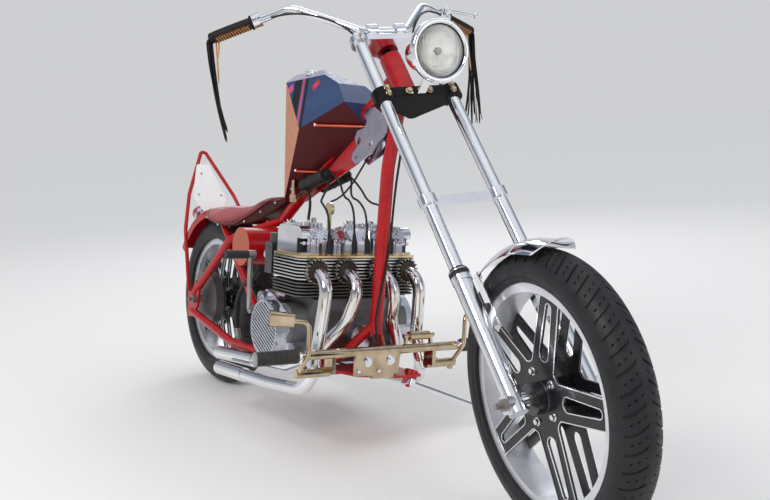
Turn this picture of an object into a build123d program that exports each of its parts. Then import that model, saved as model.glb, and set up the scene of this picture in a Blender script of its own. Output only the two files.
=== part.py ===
# Long-fork chopper motorcycle with a transverse air-cooled four-cylinder engine.
#
# Units are millimetres. The frame pieces are modelled with the motorcycle upright:
# x forward from the rear axle, y to the rider's left, z up from the ground.
# The pieces that turn with the handlebar are modelled in the fork's own frame:
# z up the steering axis, x forward, y left, origin level with the front axle.
# Wheel pieces are modelled about their own centre with the axle along y.
# The last section leans the whole vehicle onto its side stand, so that both
# tyres and the stand's foot touch z = 0, and centres it over the origin.
from build123d import *
from math import atan2, cos, degrees, hypot, radians, sin, sqrt, tan
import os

os.makedirs("parts", exist_ok=True)

# Driving dimensions
WHEELBASE = 1740.0
RAKE = 40.3
FORK_OFFSET = 46.0
FORK_SPACING = 200.0
FORK_LENGTH = 1116.0
FORK_TUBE_D = 36.0
SLIDER_D = 46.0
SLIDER_TOP = 317.0
LEAN = 7.5
STEER = -12.0

FRONT_TYRE_R = 330.0
FRONT_TYRE_W = 104.0
FRONT_RIM_R = 256.0
REAR_TYRE_R = 312.0
REAR_TYRE_W = 126.0
REAR_RIM_R = 222.0
RIM_GAP = 0.4
AXLE_D = 17.0
RUN_FIT = 0.05
SPOKE_CORNER = 14.0
SPOKE_PHASE = 77.0
EDGE_W = 2.4
EDGE_H = 1.6

TUBE_D = 38.0
RAIL_D = 28.0
RAIL_Y = 120.0
HEAD_D = 62.0
STEM_D = 30.0

ENGINE_HALF_W = 205.0
CYL_FRONT_X = 908.0
CYL_REAR_X = 728.0
CYL_BASE_Z = 435.0
HEAD_TOP_Z = 558.0
FIN_PITCH = 9.4
FIN_T = 3.6
PORT_Y = (58.0, 155.0)
CAP_Y = (70.0, 140.0)
HEADER_D = 38.0
PIPE_D = 45.0
CONTROL_X = 1056.0
CONTROL_Z = 305.0
CONTROL_HALF_W = 252.0
CLEAR = 0.3

FRONT_AXLE_Z = FRONT_TYRE_R
REAR_AXLE_Z = REAR_TYRE_R

# The fork's frame: origin on the steering axis, level with the front axle.
AXIS_UP = Vector(-sin(radians(RAKE)), 0, cos(radians(RAKE)))
AXIS_FORWARD = Vector(cos(radians(RAKE)), 0, sin(radians(RAKE)))
FORK_ORIGIN = Vector(WHEELBASE, 0, FRONT_AXLE_Z) - AXIS_FORWARD * FORK_OFFSET


def on_axis(up, forward=0.0):
    """Point of the upright frame, given along the steering axis and ahead of it."""
    return FORK_ORIGIN + AXIS_UP * up + AXIS_FORWARD * forward


def tube(points, radii, diameter, bore=0.0, mode=Mode.ADD):
    """Round tube along straight runs joined by tangent bends."""
    with BuildLine() as path:
        if len(points) > 2:
            FilletPolyline(*points, radius=radii)
        else:
            Polyline(*points)
    with BuildSketch(Plane(origin=path.line @ 0, z_dir=path.line % 0)) as section:
        Circle(diameter / 2)
        if bore:
            Circle(bore / 2, mode=Mode.SUBTRACT)
    sweep(section.sketch, path=path.line, mode=mode)


def rod(start, end, diameter, mode=Mode.ADD):
    """Straight round bar between two points."""
    a = Vector(*start)
    b = Vector(*end)
    with BuildSketch(Plane(origin=a, z_dir=b - a)) as section:
        Circle(diameter / 2)
    extrude(section.sketch, amount=(b - a).length, mode=mode)


def cord(points, diameter):
    """Cable or hose: straight runs joined by the largest tangent bends that they allow."""
    radii = []
    for i in range(1, len(points) - 1):
        back = Vector(*points[i]) - Vector(*points[i - 1])
        ahead = Vector(*points[i + 1]) - Vector(*points[i])
        turn = radians(back.get_angle(ahead))
        radii.append(0.45 * min(back.length, ahead.length) / tan(turn / 2))
    tube(points, radii, diameter)


def star(plane, hub, fins, radius, fin_width, depth):
    """Round cap or clamp with a ring of radial fins."""
    with BuildSketch(plane) as outline:
        Circle(hub)
        with PolarLocations((radius + hub) / 2 - 1, fins):
            Rectangle(radius - hub + 2, fin_width)
    extrude(outline.sketch, amount=depth)


def block(low, high, mode=Mode.ADD):
    """Upright box between two opposite corners."""
    middle = [(low[i] + high[i]) / 2 for i in range(3)]
    with Locations(tuple(middle)):
        Box(*[high[i] - low[i] for i in range(3)], mode=mode)


# Frame: steering head and single front down tube
HEAD_LOW = 925.0
HEAD_HIGH = 1078.0
DOWN_FOOT = Vector(1003.0, 0, 345.0)
with BuildPart() as front_frame:
    rod(on_axis(HEAD_LOW), on_axis(HEAD_HIGH), HEAD_D)
    tube([on_axis(HEAD_LOW + 45), (1024.0, 0, 818.0), DOWN_FOOT], [260], TUBE_D)
    rod(on_axis(HEAD_LOW - 1), on_axis(HEAD_HIGH + 1), STEM_D + 2 * RUN_FIT, mode=Mode.SUBTRACT)
front_frame.part.label = "front_frame"

# Frame: backbone from the head down to the seat, under the tank
BACK_TOP = on_axis(HEAD_LOW + 92)
BACK_END = Vector(400.0, 0, 622.0)
with BuildPart() as backbone:
    tube([BACK_TOP, BACK_END], [], TUBE_D)
    rod(on_axis(HEAD_LOW - 60), on_axis(HEAD_HIGH + 60), HEAD_D, mode=Mode.SUBTRACT)
    add(front_frame.part, mode=Mode.SUBTRACT)
backbone.part.label = "backbone"

# Frame: lower rails, one each side, from the down tube's foot to the axle plates
AXLE_PLATE_Y = RAIL_Y + 4.0
RAIL_POINTS = [
    (1003, -2, 372),
    (945, -64, 283),
    (860, -RAIL_Y, 212),
    (300, -RAIL_Y, 204),
    (-38, -AXLE_PLATE_Y, 262),
]
PLATE_OUTLINE = [(-78, 236), (-34, 242), (12, 290), (22, 352), (-12, 378), (-42, 352), (-80, 330)]
with BuildPart() as lower_rails:
    tube(RAIL_POINTS, [60, 60, 150], RAIL_D)
    with BuildSketch(Plane.XZ.offset(AXLE_PLATE_Y - 4)):
        Polygon(*PLATE_OUTLINE, align=None)
    extrude(amount=8)
    rod((0, 0, REAR_AXLE_Z), (0, -200, REAR_AXLE_Z), AXLE_D, mode=Mode.SUBTRACT)
    add(front_frame.part, mode=Mode.SUBTRACT)
    mirror(about=Plane.XZ)
lower_rails.part.label = "lower_rails"

# Frame: rear stays, from the axle plates up and forward to the backbone
STAY_POINTS = [
    (-28, -AXLE_PLATE_Y, 330),
    (108, -RAIL_Y, 437),
    (262, -RAIL_Y, 556),
    (412, -8, 628),
]
with BuildPart() as rear_stays:
    tube(STAY_POINTS, [200, 90], RAIL_D)
    add(lower_rails.part, mode=Mode.SUBTRACT)
    rod((0, 0, REAR_AXLE_Z), (0, -200, REAR_AXLE_Z), AXLE_D + 4, mode=Mode.SUBTRACT)
    add(backbone.part, mode=Mode.SUBTRACT)
    mirror(about=Plane.XZ)
rear_stays.part.label = "rear_stays"

# Frame: struts that rise from the lower rails to carry the seat
with BuildPart() as seat_struts:
    tube([(485, -RAIL_Y + 6, 214), (440, -98, 330), (128, -96, 612)], [120], 24)
    rod((140, -104, 619), (140, 0, 619), 16)
    add(lower_rails.part, mode=Mode.SUBTRACT)
    add(rear_stays.part, mode=Mode.SUBTRACT)
    mirror(about=Plane.XZ)
seat_struts.part.label = "seat_struts"

# Frame: cross tubes between the lower rails, with the engine's mounting lugs
CROSS_X = (845.0, 540.0)
with BuildPart() as cross_tubes:
    for x in CROSS_X:
        rod((x, -RAIL_Y, 208), (x, RAIL_Y, 208), 26)
        for y in (-70, 70):
            block((x - 12, y - 5, 208), (x + 12, y + 5, 246))
    add(lower_rails.part, mode=Mode.SUBTRACT)
    split(bisect_by=Plane.XZ, keep=Keep.TOP)
    mirror(about=Plane.XZ)
cross_tubes.part.label = "cross_tubes"

# Frame: plate across the front of the rails that carries the side stand, and the
# drilled gusset plates between the tank's front and the down tube
NECK_OUTLINE = [
    (931, 983), (980, 988), (1044, 952), (1046, 915), (1000, 888), (972, 858), (892, 824),
    (866, 838), (871, 856), (895, 876), (878, 900), (891, 922), (930, 930), (940, 948), (922, 966),
]
STAND_PIVOT = Vector(1040, 100, 202)
FOOT_OFFSET = Vector(42, 356, -148)
STAND_DOWN = FOOT_OFFSET.normalized()
STAND_FOLDED = Vector(-0.97, 0.05, -0.20).normalized()
STAND_AXIS = STAND_DOWN.cross(STAND_FOLDED).normalized()
STAND_PLANE = Plane(origin=STAND_PIVOT, x_dir=STAND_DOWN, z_dir=STAND_AXIS)
PIN_D = 12.0
with BuildPart() as frame_plates:
    with BuildSketch(Plane.XY.offset(222)):
        Polygon((866, -112), (1010, -58), (1066, 60), (1066, 124), (1012, 124), (866, 112), align=None)
    extrude(amount=8)
    with BuildSketch(STAND_PLANE.offset(12)):
        Circle(20)
    extrude(amount=24)
    with BuildSketch(STAND_PLANE.offset(-14)):
        Circle(PIN_D / 2)
    extrude(amount=30)
    add(lower_rails.part, mode=Mode.SUBTRACT)
    add(front_frame.part, mode=Mode.SUBTRACT)
    for side in (1, -1):
        with BuildSketch(Plane.XZ.offset(side * (TUBE_D / 2 + CLEAR))) as gusset:
            Polygon(*NECK_OUTLINE, align=None)
            fillet(gusset.vertices(), 6)
            for x, z, length in ((903, 894, 18), (966, 886, 20)):
                with Locations((x, z)):
                    Circle(9, mode=Mode.SUBTRACT)
                Polygon((x - 8.6, z - 2.5), (x - 6, z - length), (x + 8.6, z - 2.5), align=None, mode=Mode.SUBTRACT)
            with Locations((892, 846)):
                Circle(5, mode=Mode.SUBTRACT)
        extrude(amount=side * 5)
frame_plates.part.label = "frame_plates"

# Frame: web below the backbone, from the seat joint to the gusset plates
WEB_T = 6.0
WEB = [
    # along the backbone from its lower end, below its centre line
    (160, -16), (176, -28), (504, -100), (561, -80), (600, -29), (193, -3),
]
with BuildPart() as backbone_web:
    with BuildSketch(Plane(origin=BACK_END, x_dir=BACK_TOP - BACK_END, z_dir=(0, -1, 0))):
        Polygon(*WEB, align=None)
    extrude(amount=WEB_T / 2, both=True)
    add(backbone.part, mode=Mode.SUBTRACT)
    add(frame_plates.part, mode=Mode.SUBTRACT)
backbone_web.part.label = "backbone_web"

# Engine: crankcase with gearbox
CASE_OUTLINE = [
    (552, 300),
    (590, 262),
    (868, 262),
    (902, 330),
    (912, 400),
    (CYL_FRONT_X - 6, CYL_BASE_Z - CLEAR),
    (CYL_REAR_X + 4, CYL_BASE_Z - CLEAR),
    (690, 420),
    (590, 400),
    (552, 352),
]
with BuildPart() as crankcase:
    with BuildSketch(Plane.XZ.offset(-150)) as case_side:
        Polygon(*CASE_OUTLINE, align=None)
        fillet(case_side.vertices(), 10)
    extrude(amount=300)
    block((600, -92, 222), (866, 92, 300))
    rod((830, -205, 355), (830, 190, 355), 118)
    rod((650, -185, 330), (650, 185, 330), 130)
    for x in CROSS_X:
        block((x - 40, -90, 205), (x + 40, 90, 250), mode=Mode.SUBTRACT)
    add(cross_tubes.part, mode=Mode.SUBTRACT)
crankcase.part.label = "crankcase"

# Engine: ribbed clutch cover and points cover on the right, alternator cover on the
# left, and the round oil filter housing between the rails at the front
COVER_X = 770.0
COVER_Z = 332.0
COVER_R = 84.0
COVER_FACE = 237.0 + CLEAR
RIB_PITCH = 10.5
with BuildPart() as engine_covers:
    with BuildSketch(Plane.XZ.offset(150 + CLEAR)):
        with Locations((COVER_X, COVER_Z)):
            Circle(COVER_R + 4)
    extrude(amount=56)
    with BuildSketch(Plane.XZ.offset(205 + CLEAR)):
        with Locations((COVER_X, COVER_Z)):
            Circle(COVER_R)
    extrude(amount=32)
    with BuildSketch(Plane.XZ.offset(COVER_FACE)):
        with Locations(Location((COVER_X, COVER_Z, 0), (0, 0, -27))):
            with GridLocations(0, RIB_PITCH, 1, 15):
                Rectangle(2 * COVER_R, 0.45 * RIB_PITCH)
        with Locations((COVER_X, COVER_Z)):
            Circle(COVER_R - 7, mode=Mode.INTERSECT)
    extrude(amount=3.5)
    with BuildSketch(Plane.XZ.offset(COVER_FACE)):
        with Locations((COVER_X, COVER_Z)):
            Circle(COVER_R - 2)
            Circle(COVER_R - 6, mode=Mode.SUBTRACT)
    extrude(amount=3.5)
    with BuildSketch(Plane.XZ.offset(150 + CLEAR)) as shoulder:
        Polygon((664, 414), (690, 438), (724, 430), (862, 392), (862, 330), (672, 330), align=None)
        fillet(shoulder.vertices(), 10)
    extrude(amount=44)
    rod((692, -190, 410), (692, -214, 410), 44)
    rod((692, -213, 410), (692, -218, 410), 26)
    rod((830, -204, 355), (830, -214, 355), 96)
    with BuildSketch(Plane.XZ.offset(-150 - CLEAR)):
        with Locations((800, 345)):
            Circle(88)
    extrude(amount=-62)
    rod((880, 0, 322), (934, 0, 322), 72)
    add(crankcase.part, mode=Mode.SUBTRACT)
    add(lower_rails.part, mode=Mode.SUBTRACT)
engine_covers.part.label = "engine_covers"

# Engine: finned cylinder block
CORE_INSET = 17.0


def fin_outline(inset):
    """Plan outline of one fin, a rectangle with chamfered corners, shrunk by inset."""
    with Locations(((CYL_FRONT_X + CYL_REAR_X) / 2, 0)):
        RectangleRounded(
            CYL_FRONT_X - CYL_REAR_X - 2 * inset, 2 * (ENGINE_HALF_W - inset), 30 - inset / 2
        )


HEAD_BASE_Z = CYL_BASE_Z + 5 * FIN_PITCH + 4
with BuildPart() as cylinders:
    with BuildSketch(Plane.XY.offset(CYL_BASE_Z)):
        fin_outline(CORE_INSET)
    extrude(amount=HEAD_BASE_Z - CYL_BASE_Z - CLEAR)
    for i in range(5):
        with BuildSketch(Plane.XY.offset(CYL_BASE_Z + 5 + i * FIN_PITCH)):
            fin_outline(0)
        extrude(amount=FIN_T)
cylinders.part.label = "cylinders"

# Engine: finned head with the exhaust and inlet ports
PORT_Z = 515.0
with BuildPart() as cylinder_head:
    with BuildSketch(Plane.XY.offset(HEAD_BASE_Z)):
        fin_outline(CORE_INSET)
    extrude(amount=HEAD_TOP_Z - HEAD_BASE_Z - 2)
    for y in (PORT_Y[0], PORT_Y[1], -PORT_Y[0], -PORT_Y[1]):
        rod((CYL_FRONT_X - 40, y, PORT_Z), (CYL_FRONT_X + 8, y, PORT_Z), 56)
        rod((CYL_REAR_X + 40, y, PORT_Z + 16), (CYL_REAR_X - 8, y, PORT_Z + 16), 44)
    for i in range(7):
        with BuildSketch(Plane.XY.offset(HEAD_BASE_Z + 3 + i * FIN_PITCH)):
            fin_outline(0)
        extrude(amount=FIN_T)
    with BuildSketch(Plane.XY.offset(HEAD_TOP_Z - 6)):
        fin_outline(0)
    extrude(amount=6)
cylinder_head.part.label = "cylinder_head"

# Engine: rocker cover, a low box with a boss and a finned cap over each valve, and a
# rounded end housing with a bolted recess in its front corner on each side
COVER_OUTLINE = [(758, 558), (866, 558), (870, 596), (850, 626), (772, 630), (752, 600)]
END_IN = 156.0
END_OUT = 190.0
CAP_FRONT = Vector(893, 0, 616)
CAP_REAR = Vector(722, 0, 626)
CAP_PITCH = {1: 16.0, -1: 34.0}
with BuildPart() as rocker_cover:
    with BuildSketch(Plane.XZ.offset(-END_IN)) as cover_side:
        Polygon(*[(x, z + CLEAR) for x, z in COVER_OUTLINE], align=None)
    extrude(amount=2 * END_IN)
    for side in (-1, 1):
        with BuildSketch(Plane.XZ.offset(-side * END_IN)) as end_side:
            with Locations((814, HEAD_TOP_Z + CLEAR + 41)):
                Rectangle(146, 82)
            fillet(end_side.vertices().group_by(Axis.Y)[-1], 26)
        extrude(amount=-side * (END_OUT - END_IN))
        block(
            (862, min(side * 160, side * 200), HEAD_TOP_Z + 8), (890, max(side * 160, side * 200), 606),
            mode=Mode.SUBTRACT,
        )
        for y in (166, 180):
            rod((860, side * y, 592), (884, side * y, 592), 11)
        for y in CAP_Y:
            for end, seat in ((1, CAP_FRONT), (-1, CAP_REAR)):
                face = Plane(
                    origin=seat + Vector(0, side * y, 0),
                    z_dir=(end * cos(radians(CAP_PITCH[end])), 0, sin(radians(CAP_PITCH[end]))),
                )
                foot_x = seat.X - end * 24
                rod((foot_x, side * y, HEAD_TOP_Z + CLEAR), (foot_x, side * y, seat.Z + 18), 50)
                rod(tuple(face.origin - face.z_dir * 26), tuple(face.origin), 40)
                star(face, 12, 12, 25, 3.6, 12)
    split(bisect_by=Plane.XY.offset(HEAD_TOP_Z + CLEAR), keep=Keep.TOP)
rocker_cover.part.label = "rocker_cover"

# Engine: kick starter lever with its folding pedal
with BuildPart() as kickstart_lever:
    rod((655, -185 - CLEAR, 372), (655, -232, 372), 26)
    tube([(655, -232, 372), (662, -238, 470), (668, -240, 552)], [400], 15)
    rod((668, -226, 540), (668, -322, 540), 25)
    add(crankcase.part, mode=Mode.SUBTRACT)
    add(engine_covers.part, mode=Mode.SUBTRACT)
kickstart_lever.part.label = "kickstart_lever"

# Engine: four carburettors with their rubber inlet stubs
with BuildPart() as carburettors:
    for y in PORT_Y:
        rod((CYL_REAR_X - 8 - CLEAR, -y, PORT_Z + 16), (CYL_REAR_X - 34, -y, PORT_Z + 18), 48)
        rod((CYL_REAR_X - 34, -y, PORT_Z + 18), (CYL_REAR_X - 104, -y, PORT_Z + 24), 40)
        block((CYL_REAR_X - 86, -y - 24, PORT_Z - 32), (CYL_REAR_X - 42, -y + 24, PORT_Z + 62))
        rod((CYL_REAR_X - 64, -y, PORT_Z + 62), (CYL_REAR_X - 64, -y, PORT_Z + 92), 36)
    rod((CYL_REAR_X - 64, -180, PORT_Z + 48), (CYL_REAR_X - 64, 0, PORT_Z + 48), 14)
    mirror(about=Plane.XZ)
    rod((CYL_REAR_X - 64, 30, PORT_Z + 48), (CYL_REAR_X - 64, 30, PORT_Z + 168), 14)
    rod((CYL_REAR_X - 64, 24, PORT_Z + 168), (CYL_REAR_X - 64, 36, PORT_Z + 168), 40)
    block((CYL_REAR_X - 74, -32, PORT_Z + 92), (CYL_REAR_X - 54, 38, PORT_Z + 100))
    rod((CYL_REAR_X - 64, -26, PORT_Z + 92), (CYL_REAR_X - 64, -26, PORT_Z + 140), 16)
    add(cylinder_head.part, mode=Mode.SUBTRACT)
carburettors.part.label = "carburettors"

# Exhaust: two headers a side, run back into long straight pipes
OUTER_PIPE = [
    (CYL_FRONT_X + 8 + CLEAR, -155, PORT_Z),
    (990, -158, 496),
    (972, -168, 330),
    (985, -196, 188),
    (740, -205, 163),
    (400, -205, 142),
]
INNER_PIPE = [
    (CYL_FRONT_X + 8 + CLEAR, -58, PORT_Z),
    (1002, -60, 484),
    (965, -78, 372),
    (905, -158, 262),
    (790, -160, 214),
    (290, -158, 168),
]
PIPE_TABLE = (
    (OUTER_PIPE, [55, 120, 75, 200]),
    (INNER_PIPE, [50, 110, 90, 90]),
)
with BuildPart() as exhaust_pipes:
    for points, radii in PIPE_TABLE:
        tube(points, radii, HEADER_D)
        start = Vector(*points[-2]) * 0.55 + Vector(*points[-1]) * 0.45
        rod(tuple(start), points[-1], PIPE_D)
        rod(tuple(start * 0.2 + Vector(*points[-1]) * 0.8), points[-1], PIPE_D - 5, mode=Mode.SUBTRACT)
    add(cylinder_head.part, mode=Mode.SUBTRACT)
    add(crankcase.part, mode=Mode.SUBTRACT)
    mirror(about=Plane.XZ)
exhaust_pipes.part.label = "exhaust_pipes"

with BuildPart() as exhaust_clamps:
    for y in PORT_Y:
        star(Plane(origin=(CYL_FRONT_X + 9, -y, PORT_Z), z_dir=(1, 0, 0)), 27, 18, 37, 3.6, 14)
    mirror(about=Plane.XZ)
    add(exhaust_pipes.part, mode=Mode.SUBTRACT)
    add(cylinder_head.part, mode=Mode.SUBTRACT)
exhaust_clamps.part.label = "exhaust_clamps"

# Fuel tank: faceted prism set steeply on the backbone
TANK_SPINE = (
    # x, half width, roof z, shoulder z, floor z
    (862.0, 92.0, 1102.0, 1085.0, 890.0),
    (640.0, 128.0, 1112.0, 1094.0, 800.0),
    (420.0, 52.0, 760.0, 748.0, 690.0),
)
TANK_REAR_TOP = Vector(467, -40, 1082)
TANK_REAR_LOW = Vector(485, -38, 705)
TANK_FRONT_TOP = Vector(698, -30, 1095)
TANK_CREASE = Vector(713, -120, 924)
TANK_SHOULDER = Vector(897, -77, 1001)
TANK_RIDGE = Vector(460, 0, 1112)
TANK_INSIDE = Vector(690, 0, 940)
TANK_FACETS = (
    # three corners of each flat panel
    (TANK_REAR_TOP, TANK_FRONT_TOP, TANK_CREASE),
    (TANK_REAR_TOP, TANK_REAR_LOW, TANK_CREASE),
    (TANK_REAR_LOW, TANK_CREASE, TANK_SHOULDER),
    (TANK_REAR_TOP, TANK_FRONT_TOP, TANK_RIDGE),
)
with BuildPart() as fuel_tank:
    with BuildSketch(Plane.XZ) as tank_side:
        Polygon(
            (TANK_RIDGE.X, 1125), (TANK_REAR_LOW.X, 650), (905, 915), (TANK_SHOULDER.X, TANK_SHOULDER.Z),
            (810, 1061), (TANK_FRONT_TOP.X, TANK_FRONT_TOP.Z), (610, 1125),
            align=None,
        )
    extrude(amount=140, both=True)
    for first, second, third in TANK_FACETS:
        outward = (second - first).cross(third - first).normalized()
        if outward.dot(TANK_INSIDE - first) > 0:
            outward = outward * -1
        for side in (1, -1):
            split(
                bisect_by=Plane(
                    origin=(first.X, side * first.Y, first.Z), z_dir=(outward.X, side * outward.Y, outward.Z)
                ),
                keep=Keep.BOTTOM,
            )
    with BuildSketch(Plane(origin=BACK_TOP, x_dir=(0, 1, 0), z_dir=BACK_END - BACK_TOP)):
        Circle(TUBE_D / 2 + CLEAR)
        with Locations((0, 60)):
            Rectangle(WEB_T + 2, 120)
    extrude(amount=(BACK_END - BACK_TOP).length, mode=Mode.SUBTRACT)
    rod(on_axis(HEAD_LOW - 60), on_axis(HEAD_HIGH + 60), HEAD_D + 8, mode=Mode.SUBTRACT)
fuel_tank.part.label = "fuel_tank"

# Fuel tap under the tank's rear right corner
TAP = Vector(566, -50, 706)
with BuildPart() as fuel_tap:
    rod((TAP.X, TAP.Y, TAP.Z - 8), (TAP.X, TAP.Y, TAP.Z + 62), 13)
    rod((TAP.X, TAP.Y, TAP.Z - 8), (TAP.X, TAP.Y, TAP.Z + 16), 21)
    rod((TAP.X - 16, TAP.Y, TAP.Z + 8), (TAP.X + 22, TAP.Y, TAP.Z + 8), 9)
    rod((TAP.X, TAP.Y, TAP.Z + 30), (TAP.X, TAP.Y, TAP.Z + 37), 20)
    add(fuel_tank.part, mode=Mode.SUBTRACT)
fuel_tap.part.label = "fuel_tap"

# Ignition coils, one each side of the web under the backbone
COIL_Y = 34.0
with BuildPart() as ignition_coils:
    for side in (-1, 1):
        rod((606, side * COIL_Y, 752), (742, side * COIL_Y, 790), 42)
        rod((592, side * COIL_Y, 748), (760, side * COIL_Y, 795), 22)
        block((650, side * COIL_Y - 14, 748), (664, side * COIL_Y + 14, 786))
        rod((660, 0, 762), (660, side * COIL_Y, 762), 10)
    add(backbone.part, mode=Mode.SUBTRACT)
    add(backbone_web.part, mode=Mode.SUBTRACT)
    add(fuel_tank.part, mode=Mode.SUBTRACT)
ignition_coils.part.label = "ignition_coils"

# Seat: pan and cushion
FENDER_R = REAR_TYRE_R + 12.0
SEAT_PLAN = [(-40, 0), (-30, 88), (50, 140), (180, 142), (300, 84), (400, 44), (462, 30)]
with BuildPart() as seat_cushion:
    with BuildSketch(Plane.XZ) as seat_side:
        Polygon(
            (-62, 622), (40, 612), (200, 612), (330, 632), (420, 672), (472, 704),
            (455, 716), (380, 710), (290, 694), (180, 672), (60, 664), (-40, 668), (-66, 650),
            align=None,
        )
    extrude(amount=150, both=True)
    with BuildSketch(Plane.XY.offset(560)):
        Polygon(*[(x, y) for x, y in SEAT_PLAN], *[(x, -y) for x, y in reversed(SEAT_PLAN[1:])], align=None)
    extrude(amount=200, mode=Mode.INTERSECT)
    rod((0, -78, REAR_AXLE_Z), (0, 78, REAR_AXLE_Z), 2 * (FENDER_R + 4.3), mode=Mode.SUBTRACT)
    add(fuel_tank.part, mode=Mode.SUBTRACT)
    add(backbone.part, mode=Mode.SUBTRACT)
    add(seat_struts.part, mode=Mode.SUBTRACT)
    add(rear_stays.part, mode=Mode.SUBTRACT)
seat_cushion.part.label = "seat_cushion"

# Oil tank: transverse cylinder behind the engine
with BuildPart() as oil_tank:
    rod((447, -170, 545), (447, 170, 545), 124)
    block((424, -10, 590), (438, 10, 630))
    add(backbone.part, mode=Mode.SUBTRACT)
    add(rear_stays.part, mode=Mode.SUBTRACT)
    add(seat_struts.part, mode=Mode.SUBTRACT)
oil_tank.part.label = "oil_tank"

# Rear fender: short, close over the tyre
with BuildPart() as fender_arc:
    with BuildSketch(Plane.XY):
        with Locations((FENDER_R + 2, 0)):
            Rectangle(4, 2 * 75)
        for y in (-73, 73):
            with Locations((FENDER_R - 10, y)):
                Rectangle(24, 4)
    revolve(axis=Axis.Y, revolution_arc=-88)
with BuildPart() as rear_fender:
    add(fender_arc.part.moved(Location((0, 0, REAR_AXLE_Z), (0, -62, 0))))
    add(seat_struts.part, mode=Mode.SUBTRACT)
rear_fender.part.label = "rear_fender"

# Sissy bar: pointed hoop with a blank plate
SISSY = [
    (-52, -AXLE_PLATE_Y - 12, 335),
    (-112, -AXLE_PLATE_Y - 10, 560),
    (-190, -92, 690),
    (-300, 0, 872),
    (-190, 92, 690),
    (-112, AXLE_PLATE_Y + 10, 560),
    (-52, AXLE_PLATE_Y + 12, 335),
]
with BuildPart() as sissy_bar:
    tube(SISSY, [90, 90, 14, 90, 90], 14)
    add(lower_rails.part, mode=Mode.SUBTRACT)
sissy_bar.part.label = "sissy_bar"

with BuildPart() as tail_light:
    rod((-262, 0, 600), (-300, 0, 612), 62)
    block((-262, -14, 556), (-240, 14, 612))
    block((-250, -14, 556), (-190, 14, 564))
    rod((0, -70, REAR_AXLE_Z), (0, 70, REAR_AXLE_Z), 2 * (FENDER_R + 4), mode=Mode.SUBTRACT)
tail_light.part.label = "tail_light"

# Forward controls: cross tube with its bracket plate
with BuildPart() as forward_controls:
    rod((CONTROL_X, -CONTROL_HALF_W, CONTROL_Z), (CONTROL_X, CONTROL_HALF_W, CONTROL_Z), 26)
    block((CONTROL_X + 4, -104, 238), (CONTROL_X + 12, 44, CONTROL_Z))
    block((1010, -40, 226), (CONTROL_X + 6, 30, 244))
    rod((CONTROL_X - 4, 84, CONTROL_Z + 36), (CONTROL_X - 4, 152, CONTROL_Z + 36), 26)
    rod((CONTROL_X - 4, 64, CONTROL_Z + 36), (CONTROL_X - 4, 172, CONTROL_Z + 36), 12)
    for y in (74, 162):
        block((CONTROL_X - 9, y - 4, CONTROL_Z + 4), (CONTROL_X + 1, y + 4, CONTROL_Z + 36))
    for side in (-1, 1):
        rod((1030, side * 165, 250), (1030, side * 255, 250), 26)
        block((1022, side * 170 - 6, 250), (1064, side * 170 + 6, CONTROL_Z))
    add(frame_plates.part, mode=Mode.SUBTRACT)
    add(front_frame.part, mode=Mode.SUBTRACT)
    add(lower_rails.part, mode=Mode.SUBTRACT)
forward_controls.part.label = "forward_controls"

with BuildPart() as footpegs:
    rod((CONTROL_X, -CONTROL_HALF_W - CLEAR, CONTROL_Z), (CONTROL_X - 3, -282, CONTROL_Z - 1), 16)
    rod((CONTROL_X - 3, -276, CONTROL_Z - 1), (1030, -396, 298), 40)
    mirror(about=Plane.XZ)
    add(forward_controls.part, mode=Mode.SUBTRACT)
footpegs.part.label = "footpegs"

PAD_IN = Vector(1058, -296, 402)
PAD_OUT = Vector(1034, -356, 406)
PEDAL_PATH = [(1030, -262, 250), (1084, -262, 312), (1082, -262, 398), (1040, -338, 404)]
with BuildPart() as foot_pedals:
    rod((1030, -255.3, 250), (1030, -270, 250), 24)
    tube(PEDAL_PATH, [22, 20], 13)
    with BuildSketch(Plane(origin=PAD_IN, x_dir=(0, 0, 1), z_dir=PAD_OUT - PAD_IN)):
        RectangleRounded(36, 26, 8)
    extrude(amount=(PAD_OUT - PAD_IN).length, taper=-4)
    with BuildSketch(Plane(origin=PAD_OUT, x_dir=(0, 0, 1), z_dir=PAD_IN - PAD_OUT)):
        RectangleRounded(34, 24, 8)
    extrude(amount=34, taper=6, mode=Mode.SUBTRACT)
    mirror(about=Plane.XZ)
    rod((1024, 262, 232), (720, 222, 318), 8)
    block((1018, 256, 228), (1030, 268, 244))
    add(engine_covers.part, mode=Mode.SUBTRACT)
foot_pedals.part.label = "foot_pedals"

# Rear axle with spacers and nuts
HUB_HALF = 62.0
STUB_D = 14.0
STUB_END = 160.0
with BuildPart() as rear_axle:
    rod((0, -146, REAR_AXLE_Z), (0, 146, REAR_AXLE_Z), AXLE_D)
    rod((0, -STUB_END, REAR_AXLE_Z), (0, STUB_END, REAR_AXLE_Z), STUB_D)
    for side in (-1, 1):
        rod((0, side * (HUB_HALF + 38), REAR_AXLE_Z), (0, side * (AXLE_PLATE_Y - 4.3), REAR_AXLE_Z), 28)
        with BuildSketch(Plane.XZ.offset(-side * (AXLE_PLATE_Y + 4.3))):
            with Locations((0, REAR_AXLE_Z)):
                RegularPolygon(15, 6)
        extrude(amount=-side * 16)
    add(lower_rails.part, mode=Mode.SUBTRACT)
    add(rear_stays.part, mode=Mode.SUBTRACT)
rear_axle.part.label = "rear_axle"

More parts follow.
